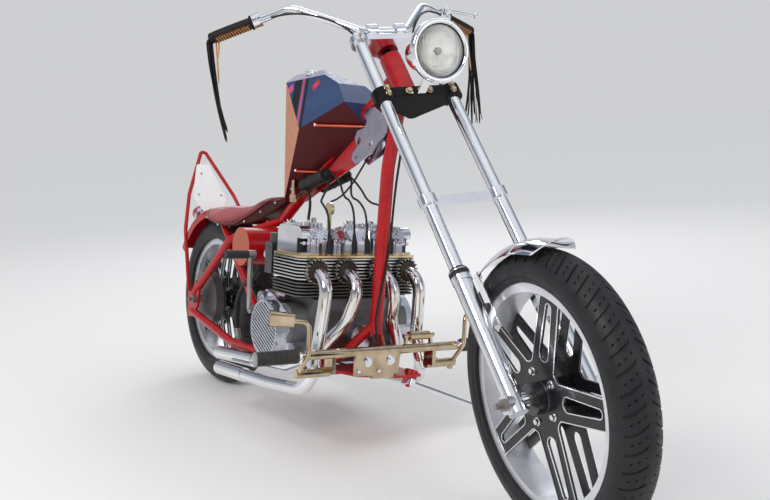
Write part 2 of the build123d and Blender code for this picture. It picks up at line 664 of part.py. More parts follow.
# Chain: one closed band round both sprockets
CHAIN_Y = 86.0
SPROCKET_R = 92.0
DRIVE_R = 36.0
DRIVE_X = 610.0
DRIVE_Z = 330.0
with BuildPart() as chain:
    with BuildSketch(Plane.XZ.offset(-CHAIN_Y - 8)):
        with BuildLine():
            a = CenterArc((0, REAR_AXLE_Z), SPROCKET_R + 16, 90, 180)
            b = CenterArc((DRIVE_X, DRIVE_Z), DRIVE_R + 16, -90, 180)
            Line(a @ 0, b @ 1)
            Line(a @ 1, b @ 0)
        make_face()
        with BuildLine():
            c = CenterArc((0, REAR_AXLE_Z), SPROCKET_R + 4, 90, 180)
            d = CenterArc((DRIVE_X, DRIVE_Z), DRIVE_R + 4, -90, 180)
            Line(c @ 0, d @ 1)
            Line(c @ 1, d @ 0)
        make_face(mode=Mode.SUBTRACT)
    extrude(amount=16)
    add(crankcase.part, mode=Mode.SUBTRACT)
    add(seat_struts.part, mode=Mode.SUBTRACT)
chain.part.label = "chain"


# Wheels
def tyre_ring(radius, width, rim_radius, bead_half):
    """Tyre: a round section seated between the rim's flanges."""
    half = width / 2
    with BuildSketch(Plane.XY) as section:
        with Locations((radius - half, 0)):
            Circle(half)
        with Locations((0, 0)):
            Rectangle(2 * (rim_radius - 15), 4 * half, mode=Mode.SUBTRACT)
        for side in (-1, 1):
            with Locations((rim_radius - 7, side * (bead_half + half / 2))):
                Rectangle(16, half, mode=Mode.SUBTRACT)
    revolve(section.sketch, axis=Axis.Y)


def rim_ring(width, rim_radius):
    """Rim: a channel with a rolled lip on each edge."""
    half = width / 2
    with BuildSketch(Plane.XY) as section:
        with Locations((rim_radius - 18, 0)):
            Rectangle(5, width)
        for side in (-1, 1):
            with Locations((rim_radius - 10, side * (half - 2.2))):
                Rectangle(20, 4.4)
    revolve(section.sketch, axis=Axis.Y)


def five_spokes(rim_radius, hub_radius, gap, phase):
    """Two pressed plates with five tapered, slotted spokes each, either side of the hub."""
    root = hub_radius + 21
    wide = 0.52 * hub_radius
    tip = rim_radius - 20.4
    for side in (-1, 1):
        with BuildSketch(Plane.XZ.offset(side * gap)) as plate:
            Circle(hub_radius)
            with PolarLocations(0, 5, start_angle=phase):
                Polygon((20, -wide), (tip, -0.78 * wide), (tip, 0.78 * wide), (20, wide), align=None)
            fillet(plate.vertices().filter_by(lambda v: hypot(v.X, v.Y) < hub_radius + 2), SPOKE_CORNER)
            with PolarLocations(0, 5, start_angle=phase):
                with Locations((root, 0)):
                    Circle(16, mode=Mode.SUBTRACT)
                with Locations((tip - 23, 0)):
                    Circle(10, mode=Mode.SUBTRACT)
                Polygon((root, -16), (tip - 23, -10), (tip - 23, 10), (root, 16), align=None, mode=Mode.SUBTRACT)
        extrude(plate.sketch, amount=2.5, both=True)
        with BuildSketch(Plane.XZ.offset(side * (gap + 2.5))) as edges:
            with Locations((0, 0)):
                add(plate.sketch.moved(Location((0, 0, 0))))
            offset(amount=-EDGE_W, mode=Mode.SUBTRACT)
        extrude(edges.sketch, amount=side * EDGE_H)


with BuildPart() as front_tyre:
    tyre_ring(FRONT_TYRE_R, FRONT_TYRE_W, FRONT_RIM_R, 39 - 4.4 - RIM_GAP)
front_tyre.part.label = "front_tyre"

with BuildPart() as front_rim:
    rim_ring(2 * 39.0, FRONT_RIM_R)
front_rim.part.label = "front_rim"

FRONT_HUB_HALF = 60.0
with BuildPart() as front_spokes:
    five_spokes(FRONT_RIM_R, 84, 32, SPOKE_PHASE - RAKE)
    with BuildSketch(Plane.XZ.offset(-FRONT_HUB_HALF)):
        Circle(36)
    extrude(amount=2 * FRONT_HUB_HALF)
    with BuildSketch(Plane.XZ.offset(-400)):
        Circle(AXLE_D / 2 + RUN_FIT)
    extrude(amount=800, mode=Mode.SUBTRACT)
    add(front_rim.part, mode=Mode.SUBTRACT)
front_spokes.part.label = "front_spokes"

with BuildPart() as rear_tyre:
    tyre_ring(REAR_TYRE_R, REAR_TYRE_W, REAR_RIM_R, 46 - 4.4 - RIM_GAP)
rear_tyre.part.label = "rear_tyre"

with BuildPart() as rear_rim:
    rim_ring(2 * 46.0, REAR_RIM_R)
rear_rim.part.label = "rear_rim"

with BuildPart() as rear_spokes:
    five_spokes(REAR_RIM_R, 78, 24, SPOKE_PHASE)
    with BuildSketch(Plane.XZ.offset(-HUB_HALF)):
        Circle(36)
    extrude(amount=2 * HUB_HALF)
    with BuildSketch(Plane.XZ.offset(HUB_HALF)):
        Circle(100)
    extrude(amount=30)
    with BuildSketch(Plane.XZ.offset(-400)):
        Circle(AXLE_D / 2 + RUN_FIT)
    extrude(amount=800, mode=Mode.SUBTRACT)
    add(rear_rim.part, mode=Mode.SUBTRACT)
rear_spokes.part.label = "rear_spokes"

with BuildPart() as rear_sprocket:
    with BuildSketch(Plane.XZ.offset(-CHAIN_Y - 3)):
        Circle(SPROCKET_R)
        Circle(20, mode=Mode.SUBTRACT)
    extrude(amount=6)
    with BuildSketch(Plane.XZ.offset(-HUB_HALF - CLEAR)):
        Circle(48)
        Circle(20, mode=Mode.SUBTRACT)
    extrude(amount=-(CHAIN_Y - 3 - HUB_HALF - CLEAR))
rear_sprocket.part.label = "rear_sprocket"

# Fork: sliders, tubes and yokes, in the fork's own frame
LEG_X = FORK_OFFSET
LEG_Y = FORK_SPACING / 2
TOP_YOKE_Z = 1090.0
LOW_YOKE_Z = 878.0
with BuildPart() as fork_sliders:
    rod((LEG_X, -LEG_Y, -26), (LEG_X, -LEG_Y, SLIDER_TOP), SLIDER_D)
    block((LEG_X - 6, -LEG_Y + 12, 184), (LEG_X + 14, -62.5 - CLEAR, 244))
    rod((LEG_X, -LEG_Y, SLIDER_TOP - 4), (LEG_X, -LEG_Y, SLIDER_TOP + 26), SLIDER_D + 4)
    rod((LEG_X, -LEG_Y, SLIDER_TOP - 60), (LEG_X, -LEG_Y, SLIDER_TOP + 30), FORK_TUBE_D + 2 * CLEAR, mode=Mode.SUBTRACT)
    rod((LEG_X, -LEG_Y - 26, 0), (LEG_X, -LEG_Y + 26, 0), 44)
    rod((LEG_X, -LEG_Y - 27, 0), (LEG_X, -LEG_Y + 27, 0), AXLE_D + 2 * RUN_FIT, mode=Mode.SUBTRACT)
    mirror(about=Plane.XZ)
fork_sliders.part.label = "fork_sliders"

with BuildPart() as fork_tubes:
    rod((LEG_X, -LEG_Y, SLIDER_TOP - 50), (LEG_X, -LEG_Y, FORK_LENGTH), FORK_TUBE_D)
    mirror(about=Plane.XZ)
fork_tubes.part.label = "fork_tubes"


def yoke(z, thickness, ring_d, web):
    """Yoke plate that joins both legs to the stem."""
    with BuildSketch(Plane.XY.offset(z)) as plan:
        with Locations((LEG_X, -LEG_Y), (LEG_X, LEG_Y)):
            Circle(ring_d / 2)
        Circle(web / 2 + 4)
        Polygon((LEG_X - 20, -LEG_Y), (LEG_X + 20, -LEG_Y), (LEG_X + 20, LEG_Y), (LEG_X - 20, LEG_Y), align=None)
        Polygon((LEG_X - 18, -LEG_Y), (-web / 2, -12), (-web / 2, 12), (LEG_X - 18, LEG_Y), align=None)
    extrude(plan.sketch, amount=thickness)
    for y in (-LEG_Y, LEG_Y):
        rod((LEG_X, y, z - 10), (LEG_X, y, z + thickness + 10), FORK_TUBE_D + 2 * CLEAR, mode=Mode.SUBTRACT)


with BuildPart() as bottom_yoke:
    yoke(LOW_YOKE_Z, 34, 58, 44)
    rod((0, 0, LOW_YOKE_Z), (0, 0, TOP_YOKE_Z - CLEAR), STEM_D)
bottom_yoke.part.label = "bottom_yoke"

BRACE_Z = 549.0
with BuildPart() as fork_brace:
    block((LEG_X - 6, -LEG_Y, BRACE_Z - 13), (LEG_X + 6, LEG_Y, BRACE_Z + 13))
    for y in (-LEG_Y, LEG_Y):
        rod((LEG_X, y, BRACE_Z - 14), (LEG_X, y, BRACE_Z + 14), 48)
    for y in (-LEG_Y, LEG_Y):
        rod((LEG_X, y, BRACE_Z - 15), (LEG_X, y, BRACE_Z + 15), FORK_TUBE_D + 2 * CLEAR, mode=Mode.SUBTRACT)
fork_brace.part.label = "fork_brace"

with BuildPart() as front_axle:
    rod((LEG_X, -LEG_Y - 38, 0), (LEG_X, LEG_Y + 38, 0), AXLE_D)
    rod((LEG_X, -LEG_Y - 50, 0), (LEG_X, LEG_Y + 50, 0), STUB_D)
    for side in (-1, 1):
        rod((LEG_X, side * (FRONT_HUB_HALF + 1), 0), (LEG_X, side * (LEG_Y - 26 - CLEAR), 0), 28)
        with BuildSketch(Plane.XZ.offset(-side * (LEG_Y + 26 + CLEAR))):
            with Locations((LEG_X, 0)):
                RegularPolygon(14, 6)
        extrude(amount=-side * 10)
front_axle.part.label = "front_axle"

# Front fender: a polished crown between the legs, with a rounded front tip that
# turns up a little, and a flat stay down each side to the sliders
FRONT_FENDER_R = FRONT_TYRE_R + 20.0
CROWN_R = 76.0
CROWN_HALF = 52.0
FENDER_REAR = -41.0
FENDER_TURN = -2.0
TIP_R = 460.0
TIP_TURN = 9.0
TIP_PLAN_R = 64.0
FENDER_T = 2.5


def around(radius, angle):
    """Point of the wheel's side view, angle forward of the vertical, for an upright fork."""
    return (radius * sin(radians(angle)), radius * cos(radians(angle)))


turn_in = around(FRONT_FENDER_R, FENDER_TURN)
tip_centre = around(FRONT_FENDER_R + TIP_R, FENDER_TURN)
tip_angle = FENDER_TURN - TIP_TURN
tip_end = (tip_centre[0] - TIP_R * sin(radians(tip_angle)), tip_centre[1] - TIP_R * cos(radians(tip_angle)))
tip_mid = FENDER_TURN - TIP_TURN / 2
tip_half = (tip_centre[0] - TIP_R * sin(radians(tip_mid)), tip_centre[1] - TIP_R * cos(radians(tip_mid)))
rear_end = around(FRONT_FENDER_R, FENDER_REAR)
with BuildPart() as fender_blade:
    with BuildLine(Plane.XZ) as crown_path:
        ThreePointArc(rear_end, around(FRONT_FENDER_R, (FENDER_REAR + FENDER_TURN) / 2), turn_in)
        ThreePointArc(turn_in, tip_half, tip_end)
    with BuildSketch(
        Plane(
            origin=(rear_end[0], 0, rear_end[1]),
            x_dir=(0, 1, 0),
            z_dir=(cos(radians(FENDER_REAR)), 0, -sin(radians(FENDER_REAR))),
        )
    ) as crown_section:
        with Locations((0, -CROWN_R)):
            Circle(CROWN_R)
            Circle(CROWN_R - FENDER_T, mode=Mode.SUBTRACT)
        reach = CROWN_R * sin(radians(CROWN_HALF))
        drop = CROWN_R * (1 - cos(radians(CROWN_HALF)))
        with Locations((0, -drop + 50)):
            Rectangle(2 * reach, 100, mode=Mode.INTERSECT)
    sweep(path=crown_path.line)
    with BuildSketch(Plane.XY.offset(200)):
        with Locations((tip_end[0] - TIP_PLAN_R + 100, 0)):
            Rectangle(200, 200)
        with Locations((tip_end[0] - TIP_PLAN_R, 0)):
            Circle(TIP_PLAN_R, mode=Mode.SUBTRACT)
    extrude(amount=300, mode=Mode.SUBTRACT)
with BuildPart() as front_fender:
    add(fender_blade.part.moved(Location((LEG_X, 0, 0), (0, RAKE, 0))))
    for side in (-1, 1):
        block((LEG_X - 8, side * 61 - 1.5, 178), (LEG_X + 16, side * 61 + 1.5, 326))
        block((LEG_X - 8, side * 58.5 - 4, 312), (LEG_X + 16, side * 58.5 + 4, 328))
    add(fork_sliders.part, mode=Mode.SUBTRACT)
front_fender.part.label = "front_fender"

# Headlight: bucket on a bracket from the lower yoke, facing level ahead
LIGHT_CENTRE = Vector(212, 0, 893)
LEVEL = Vector(cos(radians(RAKE)), 0, -sin(radians(RAKE)))
with BuildPart() as headlight_shell:
    with BuildSketch(Plane(origin=LIGHT_CENTRE, x_dir=(0, 1, 0), z_dir=LEVEL)):
        Circle(78)
    extrude(amount=16)
    with BuildSketch(Plane(origin=LIGHT_CENTRE, x_dir=(0, 1, 0), z_dir=LEVEL)):
        Circle(72)
    extrude(amount=-95, taper=16)
    with BuildSketch(Plane(origin=LIGHT_CENTRE + LEVEL * 16, x_dir=(0, 1, 0), z_dir=LEVEL)):
        Circle(70)
    extrude(amount=-12, mode=Mode.SUBTRACT)
    block((LEG_X + 20, -12, LOW_YOKE_Z + 4), (LIGHT_CENTRE.X - 60, 12, LOW_YOKE_Z + 14))
    add(bottom_yoke.part, mode=Mode.SUBTRACT)
headlight_shell.part.label = "headlight_shell"

with BuildPart() as headlight_lens:
    with BuildSketch(Plane(origin=LIGHT_CENTRE + LEVEL * (4 + CLEAR), x_dir=(0, 1, 0), z_dir=LEVEL)):
        Circle(70 - CLEAR)
    extrude(amount=10)
headlight_lens.part.label = "headlight_lens"

# Handlebar: pull-back bar on two risers
BAR_D = 22.0
BAR = [
    (34, 0, 1152),
    (34, 66, 1152),
    (-42, 212, 1334),
    (-156, 424, 1339),
]
with BuildPart() as handlebar:
    tube(BAR, [45, 60], BAR_D)
    mirror(about=Plane.XZ)
handlebar.part.label = "handlebar"

with BuildPart() as top_yoke:
    yoke(TOP_YOKE_Z, 20, 54, 44)
    rod((0, 0, TOP_YOKE_Z + 19), (0, 0, TOP_YOKE_Z + 32), 34)
    for y in (-42, 42):
        rod((34, y, TOP_YOKE_Z + 10), (34, y, 1152), 30)
        rod((34, y - 14, 1152), (34, y + 14, 1152), 40)
    add(handlebar.part, mode=Mode.SUBTRACT)
top_yoke.part.label = "top_yoke"

GRIP_DIR = (Vector(*BAR[3]) - Vector(*BAR[2])).normalized()
GRIP_END = Vector(*BAR[3])
with BuildPart() as grips:
    rod(GRIP_END - GRIP_DIR * 122, GRIP_END + GRIP_DIR * 4, 34)
    add(handlebar.part, mode=Mode.SUBTRACT)
    mirror(about=Plane.XZ)
grips.part.label = "grips"

LEVER_ROOT = GRIP_END - GRIP_DIR * 140
LEVER_TIP = GRIP_END - GRIP_DIR * 6 + Vector(64, 0, -4)
ELBOW = GRIP_END - GRIP_DIR * 137 + Vector(14, 0, -20)
with BuildPart() as hand_controls:
    rod(GRIP_END - GRIP_DIR * 150, GRIP_END - GRIP_DIR * 124, 42)
    rod(ELBOW, ELBOW - GRIP_DIR * 34, 12)
    mirror(about=Plane.XZ)
    rod(LEVER_ROOT, LEVER_ROOT + Vector(40, 0, -2), 20)
    rod(LEVER_ROOT + Vector(30, 6, -14), LEVER_ROOT + Vector(30, 6, 10), 18)
    rod(LEVER_ROOT + Vector(30, 0, -2), LEVER_TIP, 9)
    with Locations(tuple(LEVER_TIP)):
        Sphere(8)
    add(handlebar.part, mode=Mode.SUBTRACT)
    add(grips.part, mode=Mode.SUBTRACT)
hand_controls.part.label = "hand_controls"

# Control cables held along the handlebar, one each side, down to the top yoke
CABLE_D = 6.0
with BuildPart() as bar_cables:
    inner = ELBOW - GRIP_DIR * (34 + CLEAR)
    cord(
        [
            tuple(inner), tuple(inner - GRIP_DIR * 48 + Vector(-2, 0, -3)), (-4, 168, 1262), (22, 116, 1196),
            (20, 82, 1140), (2, 58, 1112),
        ],
        CABLE_D,
    )
    mirror(about=Plane.XZ)
    for piece in (handlebar, top_yoke, hand_controls):
        add(piece.part, mode=Mode.SUBTRACT)
bar_cables.part.label = "bar_cables"

# Cables, leads and hoses that the frame and the engine hold along their routes
THROTTLE_ROUTE = [
    (1056, 4, 996), (1000, 4, 944), (943, 2, 873), (892, -2, 817), (834, 2, 763), (740, 14, 716), (672, 28, 707),
]
CLUTCH_ROUTE = [
    (1056, 24, 905), (1050, 22, 850), (1040, 20, 780), (1031.5, 20, 700), (1033, 15, 610), (1034, 2, 520),
    (1028, -12, 430), (1026, -20, 372), (1054, -17, 312),
]
with BuildPart() as control_cables:
    cord(THROTTLE_ROUTE, CABLE_D)
    cord(CLUTCH_ROUTE, 7)
    for piece in (front_frame, backbone, frame_plates, lower_rails, carburettors, forward_controls):
        add(piece.part, mode=Mode.SUBTRACT)
control_cables.part.label = "control_cables"

PLUG_D = 16.0
PLUG_Y = (22.0, 106.0)
LEAD_ROUTES = (
    # from the coil's front end over the rocker cover to the cap of the plug
    [(766, -34, 796), (800, -22, 780), (812, -12, 726), (858, -16, 718), (896, -22, 676), (899, -22, 618)],
    [(766, -34, 790), (796, -54, 760), (800, -84, 712), (846, -104, 706), (892, -106, 676), (899, -106, 618)],
)
with BuildPart() as plug_leads:
    for route in LEAD_ROUTES:
        cord(route, 6.5)
        y = route[-1][1]
        rod((899, y, 618), (906, y, 566), PLUG_D)
        rod((906, y, 574), (900, y, HEAD_TOP_Z + CLEAR), 8)
    mirror(about=Plane.XZ)
    for piece in (ignition_coils, cylinder_head, rocker_cover, exhaust_clamps):
        add(piece.part, mode=Mode.SUBTRACT)
plug_leads.part.label = "plug_leads"

with BuildPart() as fuel_hose:
    cord(
        [
            (TAP.X + 22 + CLEAR, TAP.Y, TAP.Z + 8), (614, TAP.Y, 726), (664, -54, 742), (700, -60, 704),
            (690, -62, 640), (684, -60, 578),
        ],
        9,
    )
    for piece in (fuel_tap, carburettors):
        add(piece.part, mode=Mode.SUBTRACT)
fuel_hose.part.label = "fuel_hose"

with BuildPart() as oil_hose:
    cord(
        [
            (452, -100, 486), (430, -104, 440), (368, -106, 420), (306, -104, 366), (288, -102, 306),
            (300, -100, 240),
        ],
        17,
    )
    rod((300, -100, 250), (310, -100, 214), 21)
    for piece in (oil_tank, seat_struts, lower_rails, rear_stays):
        add(piece.part, mode=Mode.SUBTRACT)
oil_hose.part.label = "oil_hose"

# Lean and pitch: both tyres on the ground, then centred over the origin
def lowest(centre, axle, ring_radius, section_radius):
    """Height of a tyre's lowest point: a ring of round section about its axle."""
    return centre.Z - ring_radius * sqrt(1 - axle.Z**2) - section_radius


STEERED = Location(Plane(origin=FORK_ORIGIN, x_dir=AXIS_FORWARD, z_dir=AXIS_UP)) * Location(
    (0, 0, 0), (0, 0, STEER)
)
FRONT_WHEEL = STEERED * Location((LEG_X, 0, 0))
REAR_WHEEL = Location((0, 0, REAR_AXLE_Z))
pitch = 0.0
lift = 0.0
for step in range(12):
    parked = Location((0, 0, lift), (0, 0, 0)) * Location((0, 0, 0), (0, pitch, 0)) * Location(
        (0, 0, 0), (-LEAN, 0, 0)
    )
    heights = []
    for wheel, radius, width in (
        (REAR_WHEEL, REAR_TYRE_R, REAR_TYRE_W),
        (FRONT_WHEEL, FRONT_TYRE_R, FRONT_TYRE_W),
    ):
        placed = Plane(parked * wheel)
        heights.append(lowest(placed.origin, placed.y_dir, radius - width / 2, width / 2))
    lift -= heights[0]
    pitch += degrees(atan2(heights[1] - heights[0], WHEELBASE))
PARKED = parked
print("pitch", round(pitch, 4), "lift", round(lift, 4), "heights", heights)


def ground_z(x, y):
    """Ground height in the upright frame under a point, once leaned."""
    normal = Plane(PARKED.inverse()).z_dir
    point = Plane(PARKED.inverse()).origin
    return point.Z - (normal.X * (x - point.X) + normal.Y * (y - point.Y)) / normal.Z


# Side stand: leg with an eye round the pin and a round foot flat on the ground
GROUND_NORMAL = Plane(PARKED.inverse()).z_dir
foot = STAND_PIVOT + FOOT_OFFSET
foot = Vector(foot.X, foot.Y, ground_z(foot.X, foot.Y))
with BuildPart() as side_stand:
    rod(STAND_PIVOT + STAND_DOWN * 12, foot + GROUND_NORMAL * 11, 18)
    with BuildSketch(STAND_PLANE.offset(-10 + CLEAR)):
        Circle(20)
    extrude(amount=20 - 2 * CLEAR)
    with BuildSketch(STAND_PLANE.offset(-30)):
        Circle(PIN_D / 2 + RUN_FIT)
    extrude(amount=60, mode=Mode.SUBTRACT)
    with BuildSketch(Plane(origin=foot, z_dir=GROUND_NORMAL)):
        Circle(26)
    extrude(amount=12)
side_stand.part.label = "side_stand"

PIECES = (
    # body, pieces
    (Location(), (
        front_frame, backbone, lower_rails, rear_stays, seat_struts, cross_tubes,
        frame_plates, backbone_web, ignition_coils, crankcase, engine_covers, cylinders, cylinder_head, rocker_cover,
        kickstart_lever, carburettors, exhaust_pipes,
        exhaust_clamps, fuel_tank, seat_cushion, oil_tank, rear_fender, sissy_bar,
        tail_light, forward_controls, footpegs, foot_pedals, rear_axle, chain,
        fuel_tap, control_cables, plug_leads, fuel_hose, oil_hose,
        side_stand,
    )),
    (REAR_WHEEL, (rear_tyre, rear_rim, rear_spokes, rear_sprocket)),
    (FRONT_WHEEL, (front_tyre, front_rim, front_spokes)),
    (STEERED, (
        fork_sliders, fork_tubes, bottom_yoke, top_yoke, fork_brace, front_axle, front_fender,
        headlight_shell, headlight_lens, handlebar, grips, hand_controls, bar_cables,
    )),
)
low = [1e9, 1e9]
high = [-1e9, -1e9]
placed_pieces = []
for body, pieces in PIECES:
    for piece in pieces:
        label = piece.part.label
        shape = piece.part.moved(PARKED * body)
        box = shape.bounding_box()
        low = [min(low[0], box.min.X), min(low[1], box.min.Y)]
        high = [max(high[0], box.max.X), max(high[1], box.max.Y)]
        placed_pieces.append((label, shape))
CENTRE = Location((-(low[0] + high[0]) / 2, -(low[1] + high[1]) / 2, 0))
for label, shape in placed_pieces:
    piece = shape.moved(CENTRE)
    piece.label = label
    export_step(piece, f"parts/{label}.step")
print("centre", CENTRE.position, "box", low, high)
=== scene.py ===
# %% [markdown]
# A long-fork chopper stands on its side stand. The exact shapes come from a packed
# frame of parts; this script gives them their finishes and adds what is soft, thin
# or repeated. It starts by loading that frame.

# %% Load the frame
import math

import bpy
import numpy as np
from mathutils import Matrix


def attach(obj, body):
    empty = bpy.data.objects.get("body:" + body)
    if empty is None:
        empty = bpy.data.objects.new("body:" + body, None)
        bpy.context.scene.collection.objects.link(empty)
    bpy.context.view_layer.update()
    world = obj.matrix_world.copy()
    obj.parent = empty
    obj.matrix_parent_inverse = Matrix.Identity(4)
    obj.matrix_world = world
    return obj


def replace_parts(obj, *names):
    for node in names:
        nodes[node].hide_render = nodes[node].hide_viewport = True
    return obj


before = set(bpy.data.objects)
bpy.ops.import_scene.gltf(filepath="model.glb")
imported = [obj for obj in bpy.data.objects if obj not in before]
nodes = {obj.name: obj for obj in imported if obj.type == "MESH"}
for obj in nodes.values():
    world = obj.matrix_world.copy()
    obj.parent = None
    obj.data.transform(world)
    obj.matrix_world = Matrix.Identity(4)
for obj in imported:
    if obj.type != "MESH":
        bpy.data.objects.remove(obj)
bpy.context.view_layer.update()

# %% [markdown]
# The motorcycle leans seven and a half degrees to its left and its fork is turned
# a little to the right. It is far easier to think of each addition on an upright
# machine, so each body gets a matrix that carries points from its own upright
# frame to the leaning one. Lengths inside those frames are in millimetres, as on a
# workshop drawing.

# %% Frames of the leaning bodies
LEAN = 7.5
STEER = -12.0
RAKE = 40.3
PITCH = -0.0552
LIFT = 0.5391
WHEELBASE = 1740.0
FRONT_R = 330.0
REAR_R = 312.0
FORK_OFFSET = 46.0
CENTRE = (-876.551, -131.281)


def turned(axis, angle):
    """Matrix of a right-handed turn by an angle in degrees about one axis, as 4 by 4."""
    c = math.cos(math.radians(angle))
    s = math.sin(math.radians(angle))
    i, j = {"x": (1, 2), "y": (2, 0), "z": (0, 1)}[axis]
    m = np.eye(4)
    m[i, i] = m[j, j] = c
    m[i, j] = -s
    m[j, i] = s
    return m


def axes(x, y, z, at):
    """Matrix whose columns are three directions and a place, as 4 by 4."""
    m = np.eye(4)
    m[:3] = np.column_stack((x, y, z, at))
    return m


def shifted(x, y, z):
    """Matrix of a shift, as 4 by 4."""
    return axes((1, 0, 0), (0, 1, 0), (0, 0, 1), (x, y, z))


def unit(vector):
    """The vector, shortened to length one."""
    return vector / np.linalg.norm(vector)


BIKE = shifted(*CENTRE, LIFT) @ turned("y", PITCH) @ turned("x", -LEAN)
up = np.array((-math.sin(math.radians(RAKE)), 0, math.cos(math.radians(RAKE))))
ahead = np.array((math.cos(math.radians(RAKE)), 0, math.sin(math.radians(RAKE))))
foot = np.array((WHEELBASE, 0, FRONT_R)) - ahead * FORK_OFFSET
FORK = BIKE @ axes(ahead, (0, 1, 0), up, foot) @ turned("z", STEER)
FRAMES = {
    "frame": BIKE, "fork": FORK, "front_wheel": FORK @ shifted(FORK_OFFSET, 0, 0),
    "rear_wheel": BIKE @ shifted(0, 0, REAR_R),
}
for body, matrix in FRAMES.items():
    print(body, "stands at", (matrix[:3, 3] / 1000).round(4))

# %% [markdown]
# The camera stands low at the front right, as for the reference photograph, with a
# normal lens. It is placed by its position and its three directions, and it keeps
# no shift and no depth of field, so other views can move it freely.

# %% Camera
def added(name, data):
    """A new object in the scene."""
    piece = bpy.data.objects.new(name, data)
    bpy.context.scene.collection.objects.link(piece)
    return piece


camera = added("camera", bpy.data.cameras.new("camera"))
camera.data.sensor_width = 36.0
camera.data.lens = 44.05
RIGHT = (0.556142, 0.829186, -0.056187)
ABOVE = (-0.092365, 0.128855, 0.987352)
BACKWARD = (0.825939, -0.543919, 0.14825)
EYE = (2.35164, -1.50237, 0.97769)
camera.matrix_world = Matrix(axes(RIGHT, ABOVE, BACKWARD, EYE).tolist())
bpy.context.scene.camera = camera
bpy.context.scene.view_settings.view_transform = "Standard"
print("camera", camera.data.lens, "mm at", EYE)

# %% [markdown]
# Everything that has a colour here is made of nodes, so two small functions save most
# of the typing. One adds a node with its settings, and the other fills its inputs:
# a number or colour is written into the socket, and another node's output is linked.
# The first material that they make is the plain matt grey of the floor.

# %% Node helpers and the floor's grey
FLOOR_GREY = 0.80


def fill(node, inputs):
    """Sets a node's inputs to numbers and colours, or links them to outputs."""
    for label, value in inputs.items():
        socket = node.inputs[label]
        value = getattr(value, "socket", value)
        if isinstance(value, bpy.types.NodeSocket):
            node.id_data.links.new(value, socket)
        elif socket.type == "RGBA":
            socket.default_value = (*value[:3], 1)
        else:
            socket.default_value = value


def add_node(tree, kind, inputs=None, **settings):
    """A new shader node with its settings made and its inputs filled."""
    node = tree.nodes.new("ShaderNode" + kind)
    for label, value in settings.items():
        setattr(node, label, value)
    fill(node, inputs or {})
    return node


def new_material(name):
    """An empty node material and its Principled shader."""
    material = bpy.data.materials.new(name)
    material.use_nodes = True
    return material, material.node_tree.nodes["Principled BSDF"]


floor_material, shader = new_material("pale_floor")
fill(shader, {"Base Color": (FLOOR_GREY,) * 3, "Roughness": 0.95, "Specular IOR Level": 0.1})
print(floor_material.name, "of grey", FLOOR_GREY)

# %% [markdown]
# The floor is one wide sheet.

# %% Floor
FLOOR = 40.0
floor_mesh = bpy.data.meshes.new("floor")
floor_mesh.from_pydata(
    [(-FLOOR, -FLOOR, 0), (FLOOR, -FLOOR, 0), (FLOOR, FLOOR, 0), (-FLOOR, FLOOR, 0)], [], [(0, 1, 2, 3)]
)
floor_mesh.materials.append(floor_material)
added("floor", floor_mesh)
print("floor of", 2 * FLOOR, "m")

# %% [markdown]
# The world near the horizon has the colour that the far floor gets from the sky
# alone, so no line shows where the floor ends. Rays that reach the camera, a mirror
# or glass see a gradient that darkens higher up and brightens again overhead: that is
# what gives chrome its bands. Rays that light the object see a plain grey.

# %% World
SKY_LEVEL = 0.80
HORIZON = (0.62, 0.625, 0.64, 1)
SKY_STOPS = (
    (0.0, HORIZON), (0.16, HORIZON), (0.30, (0.30, 0.33, 0.38, 1)), (0.48, (0.13, 0.16, 0.22, 1)),
    (0.62, (0.42, 0.47, 0.55, 1)), (1.0, (0.95, 0.97, 1.0, 1)),
)
world = bpy.data.worlds.new("studio")
bpy.context.scene.world = world
world.use_nodes = True
sky = world.node_tree
sky.nodes.clear()
ray = add_node(sky, "LightPath").outputs
seen = add_node(sky, "Math", {0: ray["Is Camera Ray"], 1: ray["Is Glossy Ray"]}, operation="MAXIMUM")
shown = add_node(sky, "Math", {0: seen.outputs[0], 1: ray["Is Transmission Ray"]}, operation="MAXIMUM")
split = add_node(sky, "SeparateXYZ", {0: add_node(sky, "TexCoord").outputs["Generated"]})
ramp = add_node(sky, "ValToRGB", {"Fac": split.outputs["Z"]})
show = add_node(sky, "Background", {"Color": ramp.outputs["Color"], "Strength": 1.0})
light = add_node(sky, "Background", {"Color": (0.97, 0.98, 1.0), "Strength": SKY_LEVEL})
choose = add_node(sky, "MixShader", {"Fac": shown.outputs[0], 1: light.outputs[0], 2: show.outputs[0]})
add_node(sky, "OutputWorld", {"Surface": choose.outputs[0]})
stops = ramp.color_ramp.elements
for position, colour in SKY_STOPS:
    ends = {0.0: 0, 1.0: -1}
    stop = stops[ends[position]] if position in ends else stops.new(position)
    stop.color = colour
print("sky of", len(stops), "stops")

# %% [markdown]
# Three soft square lamps light the machine: a warm one at the front right, a weaker
# cool one opposite, and one behind that lights the edges.

# %% Lamps
def lamp(name, at, towards, size, power, colour):
    """A soft square lamp at a place, facing a point."""
    data = bpy.data.lights.new(name, "AREA")
    data.size = size
    data.energy = power
    data.color = colour
    z = unit(np.array(at, float) - towards)
    x = unit(np.cross((0, 0, 1), z))
    added(name, data).matrix_world = Matrix(axes(x, np.cross(z, x), z, at).tolist())
    print(name, "lamp of", power, "W")


lamp("key", (1.2, -3.6, 3.6), (0, 0, 0.5), 1.5, 90, (1.0, 0.97, 0.93))
lamp("fill", (4.4, 1.4, 2.4), (0, 0, 0.5), 2.5, 24, (0.94, 0.97, 1.0))
lamp("back", (-3.2, 2.6, 3.2), (0, 0, 0.6), 2.0, 40, (1.0, 1.0, 1.0))

